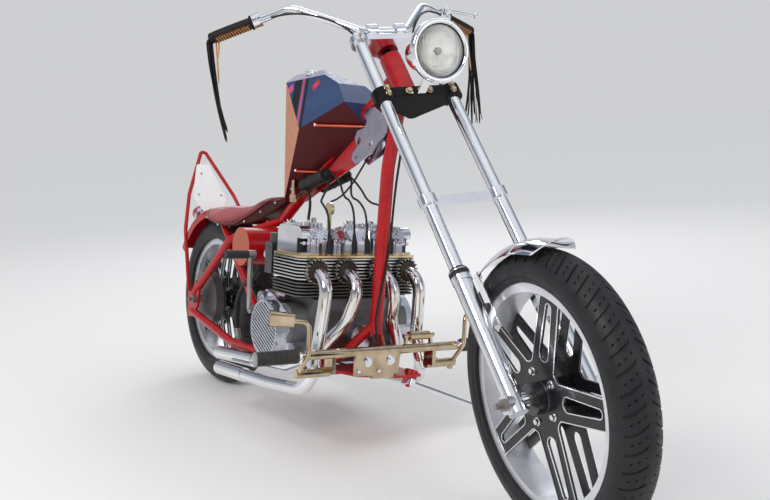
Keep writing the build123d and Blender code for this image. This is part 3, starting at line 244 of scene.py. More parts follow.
# %% [markdown]
# Many finishes change at a known place on the machine: polished fin edges on black
# castings, silver lips on dark spokes, a gold plate on top of the head. A field is a
# number that varies over a surface, such as a coordinate, and what is done with it
# becomes Math nodes, so a mask reads like the sum that it is.

# %% Fields and masks
class Field:
    """A number that varies over a surface, held as the output of a node."""

    def __init__(self, socket):
        self.socket = socket

    def math(self, operation, other=0.0):
        """The field that a Math node makes of this one and another field or number."""
        node = add_node(self.socket.id_data, "Math", {0: self, 1: other}, operation=operation)
        return Field(node.outputs[0])

    # with these, sums and products of fields are written as they are for numbers
    def __add__(self, other):
        return self.math("ADD", other)

    def __sub__(self, other):
        return self.math("SUBTRACT", other)

    def __mul__(self, other):
        return self.math("MULTIPLY", other)

    def __abs__(self):
        return self.math("ABSOLUTE")

    def above(self, edge, soft):
        """Mask that goes from 0 to 1 as the field passes an edge, over a soft width."""
        ends = {"Value": self, "From Min": edge - soft / 2, "From Max": edge + soft / 2}
        node = add_node(self.socket.id_data, "MapRange", ends, interpolation_type="SMOOTHSTEP")
        return Field(node.outputs["Result"])

    def below(self, edge, soft):
        """One minus the mask of what is above an edge."""
        ends = {0: 1.0, 1: self.above(edge, soft)}
        return Field(add_node(self.socket.id_data, "Math", ends, operation="SUBTRACT").outputs[0])


def distance(across, along):
    """Root of the sum of two squares, for fields."""
    return (across * across + along * along).math("SQRT")


print("fields add, subtract and multiply, and give masks above or below an edge")

# %% [markdown]
# The fields that matter most are the coordinates of a place. A finish reads them from
# the object and turns them back to the upright frame of the body that the piece
# belongs to, so edges and limits are the sizes of the drawing. An overlay then lays
# another finish over the first where a mask is one.

# %% Upright coordinates and overlays
def upright(material, body, kind="Object"):
    """X, Y and Z in a body's upright frame: of the place, in millimetres, or of the normal."""
    tree = material.node_tree
    back = np.linalg.inv(FRAMES[body])
    turn = add_node(tree, "Mapping", vector_type="POINT" if kind == "Object" else "VECTOR")
    fill(turn, {
        "Vector": add_node(tree, "TexCoord").outputs[kind],
        "Rotation": Matrix(back[:3, :3].tolist()).to_euler(),
    })
    if kind == "Object":
        fill(turn, {"Location": tuple(back[:3, 3]), "Scale": (1000.0, 1000.0, 1000.0)})
    parts = add_node(tree, "SeparateXYZ", {0: turn.outputs["Vector"]})
    return [Field(parts.outputs[axis]) for axis in "XYZ"]


def mix(tree, factor, first, second):
    """Socket that goes from one colour or number to another as a factor goes from 0 to 1."""
    colour = isinstance(second, tuple)
    a, b, result = (6, 7, 2) if colour else (2, 3, 0)
    node = add_node(tree, "Mix", {0: factor}, data_type="RGBA" if colour else "FLOAT")
    fill(node, {a: first, b: second})
    return node.outputs[result]


def overlay(material, mask, colour=None, metallic=None, rough=None):
    """Lays another colour, metal and gloss over a finish where a mask says so."""
    shader = material.node_tree.nodes["Principled BSDF"]
    for label, value in (("Base Color", colour), ("Metallic", metallic), ("Roughness", rough)):
        if value is not None:
            socket = shader.inputs[label]
            under = socket.links[0].from_socket if socket.is_linked else socket.default_value
            fill(shader, {label: mix(material.node_tree, mask, under, value)})


print("upright frames of", list(FRAMES))

# %% [markdown]
# Most finishes differ in three small ways that make them real: the gloss varies from
# place to place, the skin has a fine grain, and dust settles on what faces the sky.
# Each effect is one node group with named inputs, built once and used by every
# material with its own values.

# %% Shared effects: uneven gloss, fine grain, settled dust
def new_group(name, output, **inputs):
    """A node group with one output; an input whose value is None is a vector, the rest numbers."""
    group = bpy.data.node_groups.new(name, "ShaderNodeTree")
    for label, value in inputs.items():
        kind = "NodeSocketVector" if value is None else "NodeSocketFloat"
        socket = group.interface.new_socket(label, in_out="INPUT", socket_type=kind)
        if value is not None:
            socket.default_value = value
    group.interface.new_socket(output, in_out="OUTPUT", socket_type="NodeSocketFloat")
    return group, group.nodes.new("NodeGroupInput").outputs, group.nodes.new("NodeGroupOutput")


uneven, given, result = new_group("uneven_gloss", "Value", Vector=None, Scale=20.0, Low=0.2, High=0.4)
noise = add_node(uneven, "TexNoise", {"Vector": given["Vector"], "Scale": given["Scale"], "Detail": 5.0})
spread = add_node(uneven, "MapRange", {
    "Value": noise.outputs["Fac"], "From Min": 0.3, "From Max": 0.7, "To Min": given["Low"],
    "To Max": given["High"],
})
fill(result, {"Value": spread.outputs["Result"]})

grain, given, result = new_group("fine_grain", "Height", Vector=None, Scale=400.0, Height=1.0)
noise = add_node(grain, "TexNoise", {"Vector": given["Vector"], "Scale": given["Scale"], "Detail": 3.0})
fill(result, {"Height": Field(noise.outputs["Fac"]) * given["Height"]})

dust, given, result = new_group("settled_dust", "Mask", Vector=None, Facing=None, Amount=0.2)
noise = add_node(dust, "TexNoise", {"Vector": given["Vector"], "Scale": 38.0, "Detail": 8.0})
level = add_node(dust, "SeparateXYZ", {0: given["Facing"]})
upward = add_node(dust, "MapRange", {"Value": level.outputs["Z"], "From Min": -0.1, "From Max": 1.0})
patchy = add_node(dust, "MapRange", {"Value": noise.outputs["Fac"], "From Min": 0.35, "From Max": 0.75})
both = Field(upward.outputs["Result"]) * patchy.outputs["Result"]
fill(result, {"Mask": both * given["Amount"]})
print("shared effects", [group.name for group in bpy.data.node_groups])


def effect(tree, group, **values):
    """The field that a node group puts out, with its inputs set or linked by name."""
    return Field(add_node(tree, "Group", values, node_tree=group).outputs[0])


# %% [markdown]
# One function then makes a whole family of finishes. A finish has a colour, a second
# colour that the first drifts to in soft patches, how metallic and how rough it is,
# the scale and depth of its grain, and how much dust it holds. Coats of lacquer are
# plain numbers on the shader.

# %% Finishes
def finish(
    name, colour, second, metallic, gloss, patch=18.0, grain_scale=500.0, bump=0.0, settled=0.1,
    coat=0.0, dirt=(0.20, 0.17, 0.14), specular=0.5,
):
    """A finish whose colour drifts in patches between two colours, with uneven gloss."""
    material, shader = new_material(name)
    tree = material.node_tree
    place = add_node(tree, "TexCoord").outputs
    where = place["Object"]
    patches = effect(tree, uneven, Vector=where, Scale=patch, Low=0.0, High=1.0)
    shine = effect(tree, uneven, Vector=where, Scale=patch * 2.3, Low=gloss[0], High=gloss[1])
    film = effect(tree, dust, Vector=where, Facing=place["Normal"], Amount=settled)
    fill(shader, {
        "Base Color": mix(tree, film, mix(tree, patches, colour, second), dirt), "Roughness": shine + film,
        "Metallic": metallic, "Coat Weight": coat, "Coat Roughness": 0.05, "Specular IOR Level": specular,
    })
    if bump:
        skin = effect(tree, grain, Vector=where, Scale=grain_scale, Height=1.0)
        raised = add_node(tree, "Bump", {"Height": skin, "Strength": bump, "Distance": 0.0006})
        fill(shader, {"Normal": raised.outputs["Normal"]})
    return material


print("materials so far", len(bpy.data.materials))

# %% [markdown]
# The metals run from mirror chrome to the dull castings of the engine. Polished ones
# are nearly smooth and hold little dust; cast ones have a deep fine grain, and a gloss
# that changes from place to place.

# %% Metals
chrome = finish("chrome", (0.90, 0.90, 0.92), (0.82, 0.83, 0.86), 1.0, (0.03, 0.08), settled=0.05)
pipe_chrome = finish(
    "header_chrome", (0.90, 0.90, 0.92), (0.82, 0.83, 0.86), 1.0, (0.03, 0.09), settled=0.05
)
polished = finish(
    "polished_aluminium", (0.84, 0.84, 0.88), (0.72, 0.73, 0.77), 1.0, (0.08, 0.17), settled=0.06, bump=0.04
)
slider_metal = finish(
    "slider_aluminium", (0.84, 0.84, 0.87), (0.74, 0.75, 0.79), 1.0, (0.12, 0.22), settled=0.06, bump=0.05
)
cover_metal = finish(
    "cover_aluminium", (0.72, 0.74, 0.80), (0.58, 0.60, 0.66), 1.0, (0.20, 0.34), settled=0.14, bump=0.25,
    grain_scale=900.0,
)
cast = finish(
    "cast_aluminium", (0.24, 0.24, 0.25), (0.15, 0.15, 0.155), 0.8, (0.46, 0.62), settled=0.18, bump=0.5,
    grain_scale=900.0,
)
fin_metal = finish(
    "black_fins", (0.010, 0.010, 0.011), (0.024, 0.022, 0.020), 0.0, (0.40, 0.60), settled=0.1, bump=0.4,
    grain_scale=900.0, specular=0.25,
)
carb_metal = finish(
    "carburettor_metal", (0.48, 0.47, 0.45), (0.34, 0.33, 0.31), 0.9, (0.30, 0.48), settled=0.2, bump=0.4,
    grain_scale=900.0,
)
steel = finish("steel", (0.46, 0.44, 0.41), (0.30, 0.27, 0.24), 0.9, (0.28, 0.45), settled=0.2, bump=0.2)
clamp_metal = finish(
    "clamp_metal", (0.62, 0.58, 0.52), (0.34, 0.28, 0.22), 0.95, (0.22, 0.40), settled=0.15, bump=0.15,
    patch=60.0,
)
nickel = finish(
    "warm_nickel", (0.68, 0.55, 0.39), (0.46, 0.35, 0.22), 1.0, (0.07, 0.16), settled=0.05, patch=26.0
)
rim_metal = finish(
    "rim_metal", (0.78, 0.79, 0.83), (0.68, 0.69, 0.73), 0.75, (0.34, 0.46), settled=0.08, bump=0.1
)
plate_finish = finish(
    "gusset_polish", (0.46, 0.43, 0.52), (0.34, 0.32, 0.40), 1.0, (0.14, 0.24), settled=0.06, bump=0.06
)
print("materials with metals", len(bpy.data.materials))

# %% [markdown]
# Paint has a thin clear coat over a colour that hardly changes, and rubber is rough,
# nearly black and the first to show dust.

# %% Paints, rubbers and lenses
red_paint = finish(
    "red_frame_paint", (0.44, 0.006, 0.008), (0.34, 0.005, 0.009), 0.0, (0.18, 0.30), settled=0.03,
    coat=0.2, bump=0.04, specular=0.3,
)
black_rubber = finish(
    "black_rubber", (0.012, 0.012, 0.012), (0.022, 0.020, 0.019), 0.0, (0.48, 0.66), settled=0.12, bump=0.3,
    specular=0.25,
)
cable_black = finish(
    "cable_sleeve", (0.008, 0.008, 0.009), (0.015, 0.014, 0.014), 0.0, (0.32, 0.48), settled=0.06, bump=0.1,
    specular=0.3,
)
tyre_rubber = finish(
    "tyre_rubber", (0.010, 0.011, 0.013), (0.019, 0.019, 0.021), 0.0, (0.36, 0.52), settled=0.14, bump=0.5,
    grain_scale=700.0, dirt=(0.10, 0.095, 0.088), specular=0.28,
)
black_paint = finish(
    "black_paint", (0.004, 0.004, 0.005), (0.008, 0.007, 0.007), 0.0, (0.22, 0.36), settled=0.02,
    specular=0.12,
)
wheel_paint = finish(
    "wheel_paint", (0.007, 0.007, 0.009), (0.013, 0.012, 0.014), 0.0, (0.18, 0.30), settled=0.06, coat=0.15,
    specular=0.35,
)
tank_paint = finish(
    "tank_paint", (0.034, 0.068, 0.165), (0.027, 0.054, 0.135), 0.0, (0.30, 0.44), settled=0.03, coat=0.04,
    bump=0.03, specular=0.22,
)
white_plate = finish(
    "white_plate", (0.84, 0.84, 0.85), (0.80, 0.80, 0.81), 0.0, (0.30, 0.42), settled=0.05, bump=0.03
)
red_lens = finish(
    "red_lens", (0.42, 0.010, 0.012), (0.34, 0.008, 0.010), 0.0, (0.06, 0.12), settled=0.05, coat=0.9
)
print("materials with paints and rubbers", len(bpy.data.materials))

# %% [markdown]
# Round a fin's outline, and nowhere on its flat faces, the metal is bare. The outline
# is a rectangle with rounded corners, and the distance to it is the length of what is
# left of a point after the rectangle is taken away. The barrel's fins are a dull grey
# at their edges and the head's are bright, so the head gets a copy of the finish.

# %% Bare metal on fin edges
FIN_CENTRE_X = 818.0
FIN_HALF_X = 90.0
FIN_HALF_Y = 205.0
FIN_CORNER = 30.0
FIN_LIP = 2.0


def variant(base, name):
    """A copy of a finish, under a name of its own."""
    material = base.copy()
    material.name = name
    return material


def fin_edges(material):
    """Mask of what is within a lip's width of the fins' outline and faces neither up nor down."""
    x, y, _ = upright(material, "frame")
    dx = (abs(x - FIN_CENTRE_X) - (FIN_HALF_X - FIN_CORNER)).math("MAXIMUM")
    dy = (abs(y) - (FIN_HALF_Y - FIN_CORNER)).math("MAXIMUM")
    near = (distance(dx, dy) - FIN_CORNER).above(-FIN_LIP, 0.6)
    facing = upright(material, "frame", "Normal")[2]
    return near * abs(facing).below(0.5, 0.2)


head_metal = variant(fin_metal, "head_fins")
overlay(fin_metal, fin_edges(fin_metal), (0.17, 0.16, 0.15), 0.9, 0.36)
overlay(head_metal, fin_edges(head_metal), (0.70, 0.70, 0.71), 1.0, 0.22)
print("bare edges on", fin_metal.name, "and", head_metal.name)

# %% [markdown]
# The wheels are dark, with bare lips on the raised edges of the pressed plates and a
# bare hub barrel. On the right side of the rear wheel the brake drum is cast grey.

# %% Bare lips and hubs on the wheels
HUB_R = 36.0
FRONT_FACE = 34.5
REAR_FACE = 26.5
DRUM_Y = -61.0


def wheel_finish(body, plate_face):
    """Dark wheel paint, bare past the plate's outer face and on the barrel's radius."""
    material = variant(wheel_paint, f"{body}_paint")
    x, y, z = upright(material, body)
    overlay(material, abs(y).above(plate_face + 0.5, 0.4), (0.78, 0.79, 0.82), 1.0, 0.2)
    barrel = distance(x, z).below(HUB_R + 1, 1) * abs(y).above(plate_face + 2.4, 0.5)
    overlay(material, barrel, (0.10, 0.10, 0.11), 0.9, 0.3)
    return material


front_spoke_paint = wheel_finish("front_wheel", FRONT_FACE)
rear_spoke_paint = wheel_finish("rear_wheel", REAR_FACE)
drum = upright(rear_spoke_paint, "rear_wheel")[1].below(DRUM_Y, 1)
overlay(rear_spoke_paint, drum, (0.16, 0.15, 0.15), 0.8, 0.42)
print("wheel finishes", front_spoke_paint.name, rear_spoke_paint.name)

# %% [markdown]
# The other changes of finish are a table. Each row has a finish, a function of the
# place on the upright machine that says where it changes, and the colour, metal and
# gloss that it has there. Later rows lie over earlier ones, and heat has tinted the
# exhaust pipes over a wide soft height, at part strength. Two rows paint shade on the
# rocker cover: a darker lower part, and near-black in the recess at each end.

# %% Other zones of metal and paint
cover_polish = variant(polished, "rocker_cover_polish")
oil_paint = variant(red_paint, "oil_tank_paint")
light_finish = variant(red_lens, "tail_light_finish")
kick_finish = variant(steel, "kick_lever_finish")
inlet_finish = variant(carb_metal, "inlet_finish")
PORTS_Y = (58, 155)


def painted_recess_shade(x, y, z):
    """The recess at each end of the rocker cover, painted near-black as shade."""
    return x.below(872, 1) * x.above(861, 1) * abs(y).above(159.6, 0.3) * z.below(606.4, 0.3)


def clutch_groove(x, y, z):
    """The floor of the groove round the clutch cover's dome."""
    return distance(x - 770, z - 332).below(77, 0.5) * y.below(-236, 0.4) * y.above(-239.4, 0.6)


def clamp_mouth(x, y, z):
    """Where each exhaust clamp meets its pipe: near a port's centre line, left or right."""
    inner, outer = (abs(abs(y) - port) for port in PORTS_Y)
    return distance(inner.math("MINIMUM", outer), z - 515).below(32, 2)


ZONES = (
    (head_metal, lambda x, y, z: z.above(551.5, 0.3), (0.76, 0.60, 0.36), 1.0, 0.26),
    # painted shade: the lower part of the rocker cover is painted darker, for the shade and dark reflection
    # that fall there
    (cover_polish, lambda x, y, z: z.below(590, 16), (0.36, 0.37, 0.42), 1.0, 0.24),
    # painted shade: near-black painted in the recess at each end of the rocker cover
    (cover_polish, painted_recess_shade, (0.03, 0.028, 0.03), 0.2, 0.5),
    (cover_polish, lambda x, y, z: z.below(563, 1), (0.74, 0.58, 0.34), 1.0, 0.28),
    (oil_paint, lambda x, y, z: abs(y).above(169.5, 0.3), (0.38, 0.085, 0.040), 0.0, 0.42),
    (plate_finish, lambda x, y, z: z.below(500, 1), (0.48, 0.010, 0.010), 0.0, 0.22),
    (pipe_chrome, lambda x, y, z: z.above(400, 190) * 0.35, (0.80, 0.66, 0.42), 1.0, 0.12),
    (pipe_chrome, lambda x, y, z: z.above(470, 130) * 0.4, (0.46, 0.44, 0.62), 1.0, 0.14),
    (light_finish, lambda x, y, z: x.above(-276, 0.5), (0.80, 0.80, 0.83), 1.0, 0.1),
    (kick_finish, lambda x, y, z: y.below(-250, 0.5) * z.above(526, 0.5), (0.02, 0.02, 0.02), 0.0, 0.6),
    (inlet_finish, lambda x, y, z: x.above(641, 0.5), (0.09, 0.09, 0.095), 0.7, 0.34),
    (inlet_finish, lambda x, y, z: x.above(694, 0.5), (0.02, 0.02, 0.02), 0.0, 0.6),
    (inlet_finish, lambda x, y, z: x.below(641, 0.5), (0.70, 0.70, 0.72), 1.0, 0.2),
    (inlet_finish, lambda x, y, z: z.above(606, 0.5), (0.66, 0.55, 0.34), 1.0, 0.26),
    (cover_metal, clutch_groove, (0.16, 0.17, 0.21), 0.9, 0.45),
    (clamp_metal, clamp_mouth, (0.050, 0.038, 0.030), 0.6, 0.45),
)
for material, where, colour, metallic, rough in ZONES:
    overlay(material, where(*upright(material, "frame")), colour, metallic, rough)
print("zones", len(ZONES))

# %% [markdown]
# The tank is one prism, but each flat panel has a colour of its own, so the paint is
# chosen by which way the surface faces. The low panel, which faces down and out, is
# red paint darkened as painted shade. The left side mirrors the right, so its
# fields are turned into those of the right side first.

# %% Tank panels
PANELS = (
    # three corners of the panel on the right side, its colour
    ("side", (467, -40, 1082), (698, -30, 1095), (713, -120, 924), None),
    ("rear", (467, -40, 1082), (485, -38, 705), (713, -120, 924), (0.48, 0.16, 0.055)),
    # low panel: red paint, darkened to near-black as painted shade
    ("low", (485, -38, 705), (713, -120, 924), (897, -77, 1001), (0.070, 0.004, 0.006)),
    ("roof", (467, -40, 1082), (698, -30, 1095), (460, 0, 1112), (0.38, 0.37, 0.47)),
)
TANK_MIDDLE = np.array((690.0, 0, 940))


def panel_normal(first, second, third):
    """Unit normal of a panel through three corners, pointing away from the tank's middle."""
    first, second, third = (np.array(p, float) for p in (first, second, third))
    n = unit(np.cross(second - first, third - first))
    return n if n @ (first - TANK_MIDDLE) > 0 else -n


def right_side(x, y, z):
    """Three fields as the right side has them, where Y is negative."""
    return x, abs(y) * -1.0, z


def dot(fields, numbers):
    """Sum of three fields, each times a number."""
    x, y, z = (field * float(number) for field, number in zip(fields, numbers))
    return x + y + z


facing = right_side(*upright(tank_paint, "frame", "Normal"))
masks = {name: dot(facing, panel_normal(a, b, c)).above(0.985, 0.01) for name, a, b, c, _ in PANELS}
for name, _, _, _, colour in PANELS:
    if colour:
        overlay(tank_paint, masks[name], colour, None, 0.5 if name == "roof" else None)
print("tank panels", list(masks))

# %% [markdown]
# The long blue panel carries plain bands and a few diamonds. They are laid out on two
# axes that run along and across the panel, in millimetres from its rear top corner. A
# band is what lies near a slanted line, and a diamond is where the distances along
# and across, added up, stay under its half size.

# %% Bands and diamonds on the tank
BANDS = (
    # centre of a slanted band along the panel, its half width, its colour
    (78, 21, (0.010, 0.010, 0.012)),
    (112, 6, (0.50, 0.07, 0.18)),
    (132, 7, (0.010, 0.010, 0.012)),
)
DIAMONDS = (
    # along and across the panel, half size, colour
    (50, 36, 26, (0.56, 0.07, 0.22)),
    (78, 90, 20, (0.56, 0.020, 0.020)),
    (206, 34, 22, (0.56, 0.020, 0.020)),
    (206, 34, 11, (0.56, 0.07, 0.22)),
)
BAND_SLANT = 0.55
PAINT_EDGE = 0.6
_, corner, front_corner, low_corner, _ = PANELS[0]
along = unit(np.subtract(front_corner, corner))
across = np.cross(panel_normal(corner, front_corner, low_corner), along)
across *= -np.sign(across[2])
spot = right_side(*upright(tank_paint, "frame"))
spot = [field - at for field, at in zip(spot, corner)]
u, v = dot(spot, along), dot(spot, across)
slant = u - v * BAND_SLANT
for centre, half, colour in BANDS:
    overlay(tank_paint, abs(slant - centre).below(half, PAINT_EDGE) * masks["side"], colour)
for du, dv, size, colour in DIAMONDS:
    reach = abs(u - du) + abs(v - dv)
    overlay(tank_paint, reach.below(size, PAINT_EDGE) * masks["side"], colour)
print(len(BANDS), "bands and", len(DIAMONDS), "diamonds")

# %% [markdown]
# The exact parts come without finishes worth seeing. Each gets its material in the
# slots that it already has; parts that a piece below stands for are left out.

# %% Finishes of the exact parts
def dress(material, *names):
    """Gives CAD nodes a material, in the slots they already have."""
    for name in names:
        piece = nodes[name]
        if not piece.material_slots:
            piece.data.materials.append(material)
        for slot in piece.material_slots:
            slot.material = material
    print(material.name, "on", *names)


dress(red_paint, "front_frame", "backbone", "lower_rails", "rear_stays", "seat_struts", "cross_tubes",
      "backbone_web", "rear_fender", "sissy_bar")
dress(chrome, "fork_tubes", "handlebar", "headlight_shell", "front_fender", "side_stand", "hand_controls")
dress(pipe_chrome, "exhaust_pipes")
dress(slider_metal, "fork_sliders")
dress(polished, "top_yoke", "fork_brace")
dress(cover_metal, "engine_covers")
dress(cover_polish, "rocker_cover")
dress(plate_finish, "frame_plates")
dress(cast, "crankcase")
dress(fin_metal, "cylinders")
dress(head_metal, "cylinder_head")
dress(inlet_finish, "carburettors")
dress(kick_finish, "kickstart_lever")
dress(clamp_metal, "exhaust_clamps")
dress(steel, "rear_axle", "front_axle", "rear_sprocket")
dress(nickel, "forward_controls", "foot_pedals", "fuel_tap")
dress(black_rubber, "ignition_coils")
dress(black_paint, "bottom_yoke")
dress(front_spoke_paint, "front_spokes")
dress(rear_spoke_paint, "rear_spokes")
dress(rim_metal, "rear_rim", "front_rim")
dress(oil_paint, "oil_tank")
dress(light_finish, "tail_light")
dress(tank_paint, "fuel_tank")

# %% [markdown]
# New pieces are made from plain arrays: points on a grid, faces between them. A part
# is a pair of points and faces in millimetres of an upright frame, and a matrix can
# carry it to another place. A round part is a profile of heights and radii carried
# about an axis. A solid one is closed by a fan at each end, and a ring closes on
# itself.

# %% Grids, rings and lathed profiles
def grid_faces(rows, columns, wrap_rows=False, wrap_columns=False):
    """Quads between neighbours of a grid of points, also across the seams that wrap."""
    r = np.arange(rows if wrap_rows else rows - 1)
    c = np.arange(columns if wrap_columns else columns - 1)
    r, c = (a.ravel() for a in np.meshgrid(r, c, indexing="ij"))
    r2, c2 = (r + 1) % rows, (c + 1) % columns
    return np.stack((r * columns + c, r * columns + c2, r2 * columns + c2, r2 * columns + c), -1).tolist()


def closed_rings(rings):
    """Points and faces of stacked rings, rows by columns by 3, with a fan on each end."""
    rows, columns, _ = rings.shape
    points = np.vstack((rings.reshape(-1, 3), rings[0].mean(0), rings[-1].mean(0)))
    c = np.arange(columns)
    c2 = (c + 1) % columns
    last_row = (rows - 1) * columns
    first = np.stack((np.full(columns, rows * columns), c2, c), -1)
    last = np.stack((np.full(columns, rows * columns + 1), c + last_row, c2 + last_row), -1)
    return points, grid_faces(rows, columns, wrap_columns=True) + first.tolist() + last.tolist()


def circles(profile, sides):
    """Rings about Z, one for each (height, radius) of a profile."""
    height, radius = np.array(profile, float).T[:, :, None]
    turn = np.linspace(0, 2 * math.pi, sides, endpoint=False)
    return np.stack((radius * np.cos(turn), radius * np.sin(turn), height + 0 * turn), -1)


def lathe(profile, sides=24):
    """A solid of rings: each (height, radius) of the profile becomes a circle about Z."""
    return closed_rings(circles(profile, sides))


def turned_ring(profile, sides=48):
    """A ring: a closed profile of heights and radii, up its outer side and down its inner one."""
    return circles(profile, sides).reshape(-1, 3), grid_faces(len(profile), sides, True, True)


print("a lathed pin of 12 sides has", len(lathe([(0, 1), (4, 1)], 12)[1]), "faces")

# %% [markdown]
# A tube follows a path: at each of its points stands a ring square to the path. A
# curve through a few points comes from a formula that blends four neighbours by cubic
# weights and passes through the middle two.

# %% Tubes and paths
def directions(path):
    """Unit direction at each point of a path."""
    ahead = np.gradient(path, axis=0)
    return ahead / np.linalg.norm(ahead, axis=1, keepdims=True)


def along_path(path, radius, sides=10):
    """A round tube: at each point of a path stands a ring square to the path's direction."""
    ahead = directions(path)
    side = np.cross(ahead, np.eye(3)[int(np.argmin(np.abs(ahead).mean(0)))])
    side /= np.linalg.norm(side, axis=1, keepdims=True)
    other = np.cross(ahead, side)
    turn = np.linspace(0, 2 * math.pi, sides, endpoint=False)[:, None]
    ring = side[:, None] * np.cos(turn) + other[:, None] * np.sin(turn)
    return closed_rings(path[:, None] + radius * ring)


def smooth_path(points, count):
    """Points evenly spread by parameter on a smooth cubic curve through the given ones."""
    p = np.array(points, float)
    p = np.vstack((2 * p[0] - p[1], p, 2 * p[-1] - p[-2]))
    t = np.linspace(0, len(points) - 1 - 1e-9, count)
    i = t.astype(int)
    f = (t - i)[:, None]
    a, b, c, d = p[i], p[i + 1], p[i + 2], p[i + 3]
    return 0.5 * (2 * b + (c - a) * f + (2 * a - 5 * b + 4 * c - d) * f**2 + (3 * b - a - 3 * c + d) * f**3)


print("halfway on a short curve", smooth_path([(0, 0, 0), (1, 1, 0), (2, 0, 0)], 3)[1].round(3))

# %% [markdown]
# Several parts join into one object, and the matrix of its body's upright frame
# carries them all into the leaning machine. The object itself stays at the origin,
# so the finishes can read where each point is.

# %% Placing parts and making pieces
def carried(points, matrix):
    """Points carried by a matrix of 4 by 4."""
    return points @ matrix[:3, :3].T + matrix[:3, 3]


def aimed(at, towards):
    """Matrix that stands a small part on a point with its own Z along a direction."""
    z = unit(np.array(towards, float))
    x = unit(np.cross((0, 1, 0) if abs(z[1]) < 0.9 else (1, 0, 0), z))
    return axes(x, np.cross(z, x), z, at)


def moved(part, matrix):
    """The same part, its points carried by a matrix."""
    points, faces = part
    return carried(points, matrix), faces


def mirrored_y(part):
    """The same part on the other side of the middle plane, its faces turned back out."""
    points, faces = part
    return points * (1, -1, 1), [face[::-1] for face in faces]


def make_piece(name, parts, body, material, sharp=35.0):
    """Joins parts into one object in the leaning frame, riding on a body."""
    faces, start = [], 0
    for part_points, part_faces in parts:
        faces += [[i + start for i in face] for face in part_faces]
        start += len(part_points)
    points = carried(np.vstack([part_points for part_points, _ in parts]), FRAMES[body])
    mesh = bpy.data.meshes.new(name)
    mesh.from_pydata((points / 1000).tolist(), [], faces)
    mesh.materials.append(material)
    mesh.shade_smooth()
    mesh.set_sharp_from_angle(angle=math.radians(sharp))
    piece = added(name, mesh)
    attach(piece, body)
    print(name, len(mesh.vertices), "points", len(mesh.polygons), "faces")
    return piece


# %% [markdown]
# Screws and bolts appear by the dozen, so their shapes are kept low: a hexagon on a
# washer, a round head with a sunk hexagon, and a dome.

# %% Bolts, screws and studs
def hex_head(across, height):
    """A hexagon bolt head on a round washer; its size is measured across the flats."""
    r = across / 2 / math.cos(math.pi / 6)
    head = lathe([(-0.5, r), (height * 0.86, r), (height, r * 0.84), (height, r * 0.4)], 6)
    washer = lathe([(-0.6, r * 1.32), (1.3, r * 1.32), (1.8, r * 1.22)], 16)
    return [moved(head, shifted(0, 0, 1.6)), washer]


def cap_screw(diameter, height):
    """A round-headed screw with a hexagon socket sunk into its top."""
    r = diameter / 2
    body = lathe([(-0.5, r), (height * 0.7, r), (height, r * 0.82), (height, r * 0.5)], 12)
    socket = lathe([(height - 0.05, r * 0.5), (height + 0.25, r * 0.5), (height - 1.2, r * 0.42)], 6)
    return [body, socket]


def dome_head(diameter, height):
    """A smooth domed head, for rivets, studs and cap nuts."""
    r = diameter / 2
    angle = np.linspace(0, math.pi / 2 * 0.9, 5)
    return [lathe([(-0.5, r)] + [(height * math.sin(a), r * math.cos(a)) for a in angle], 16)]


def bolts(places, shape):
    """Copies of a bolt at places, each a point and the direction that it faces."""
    return [moved(part, aimed(at, towards)) for at, towards in places for part in shape]


print("faces of a bolt, a screw and a stud", [
    sum(len(faces) for _, faces in shape) for shape in (hex_head(10, 5), cap_screw(9, 5), dome_head(9, 3))
])

# %% [markdown]
# A tyre is a round section carried about the axle. Its tread is cut into the same
# grid: grooves are columns of the grid that sink a few millimetres, and because each
# ring of points is turned a little by how far it lies from the crown, straight
# columns bend into swept chevrons with perfectly clean edges. Small round wells
# between the grooves are short groups of points sunk the same way.

# %% Tyres with swept grooves
GROOVE_DEPTH = 3.4
STEP_DEPTH = 1.1
# share of one pitch, sunk in a groove, sunk in a well
TREAD_COLUMNS = np.array((
    (0.00, 0, 0), (0.035, 1, 0), (0.135, 1, 0), (0.17, 0, 0), (0.29, 0, 0), (0.41, 0, 0), (0.525, 0, 0),
    (0.55, 0, 1), (0.615, 0, 1), (0.64, 0, 0), (0.76, 0, 0), (0.88, 0, 0),
))
# degrees round the section from the crown
TREAD_ROWS = np.concatenate((
    (-113.2, -108, -104, -101, -98, -92, -84, -76, -69), np.arange(-64, 65, 2.0),
    (69, 76, 84, 92, 98, 101, 104, 108, 113.2),
))
WELLS = ((14, 3), (30, 3), (46, 3))
FRONT_RIM = 256.0
REAR_RIM = 222.0


def window(value, low, high, soft):
    """One between two values, zero outside, with soft edges."""
    return np.clip((value - low) / soft, 0, 1) * np.clip((high - value) / soft, 0, 1)


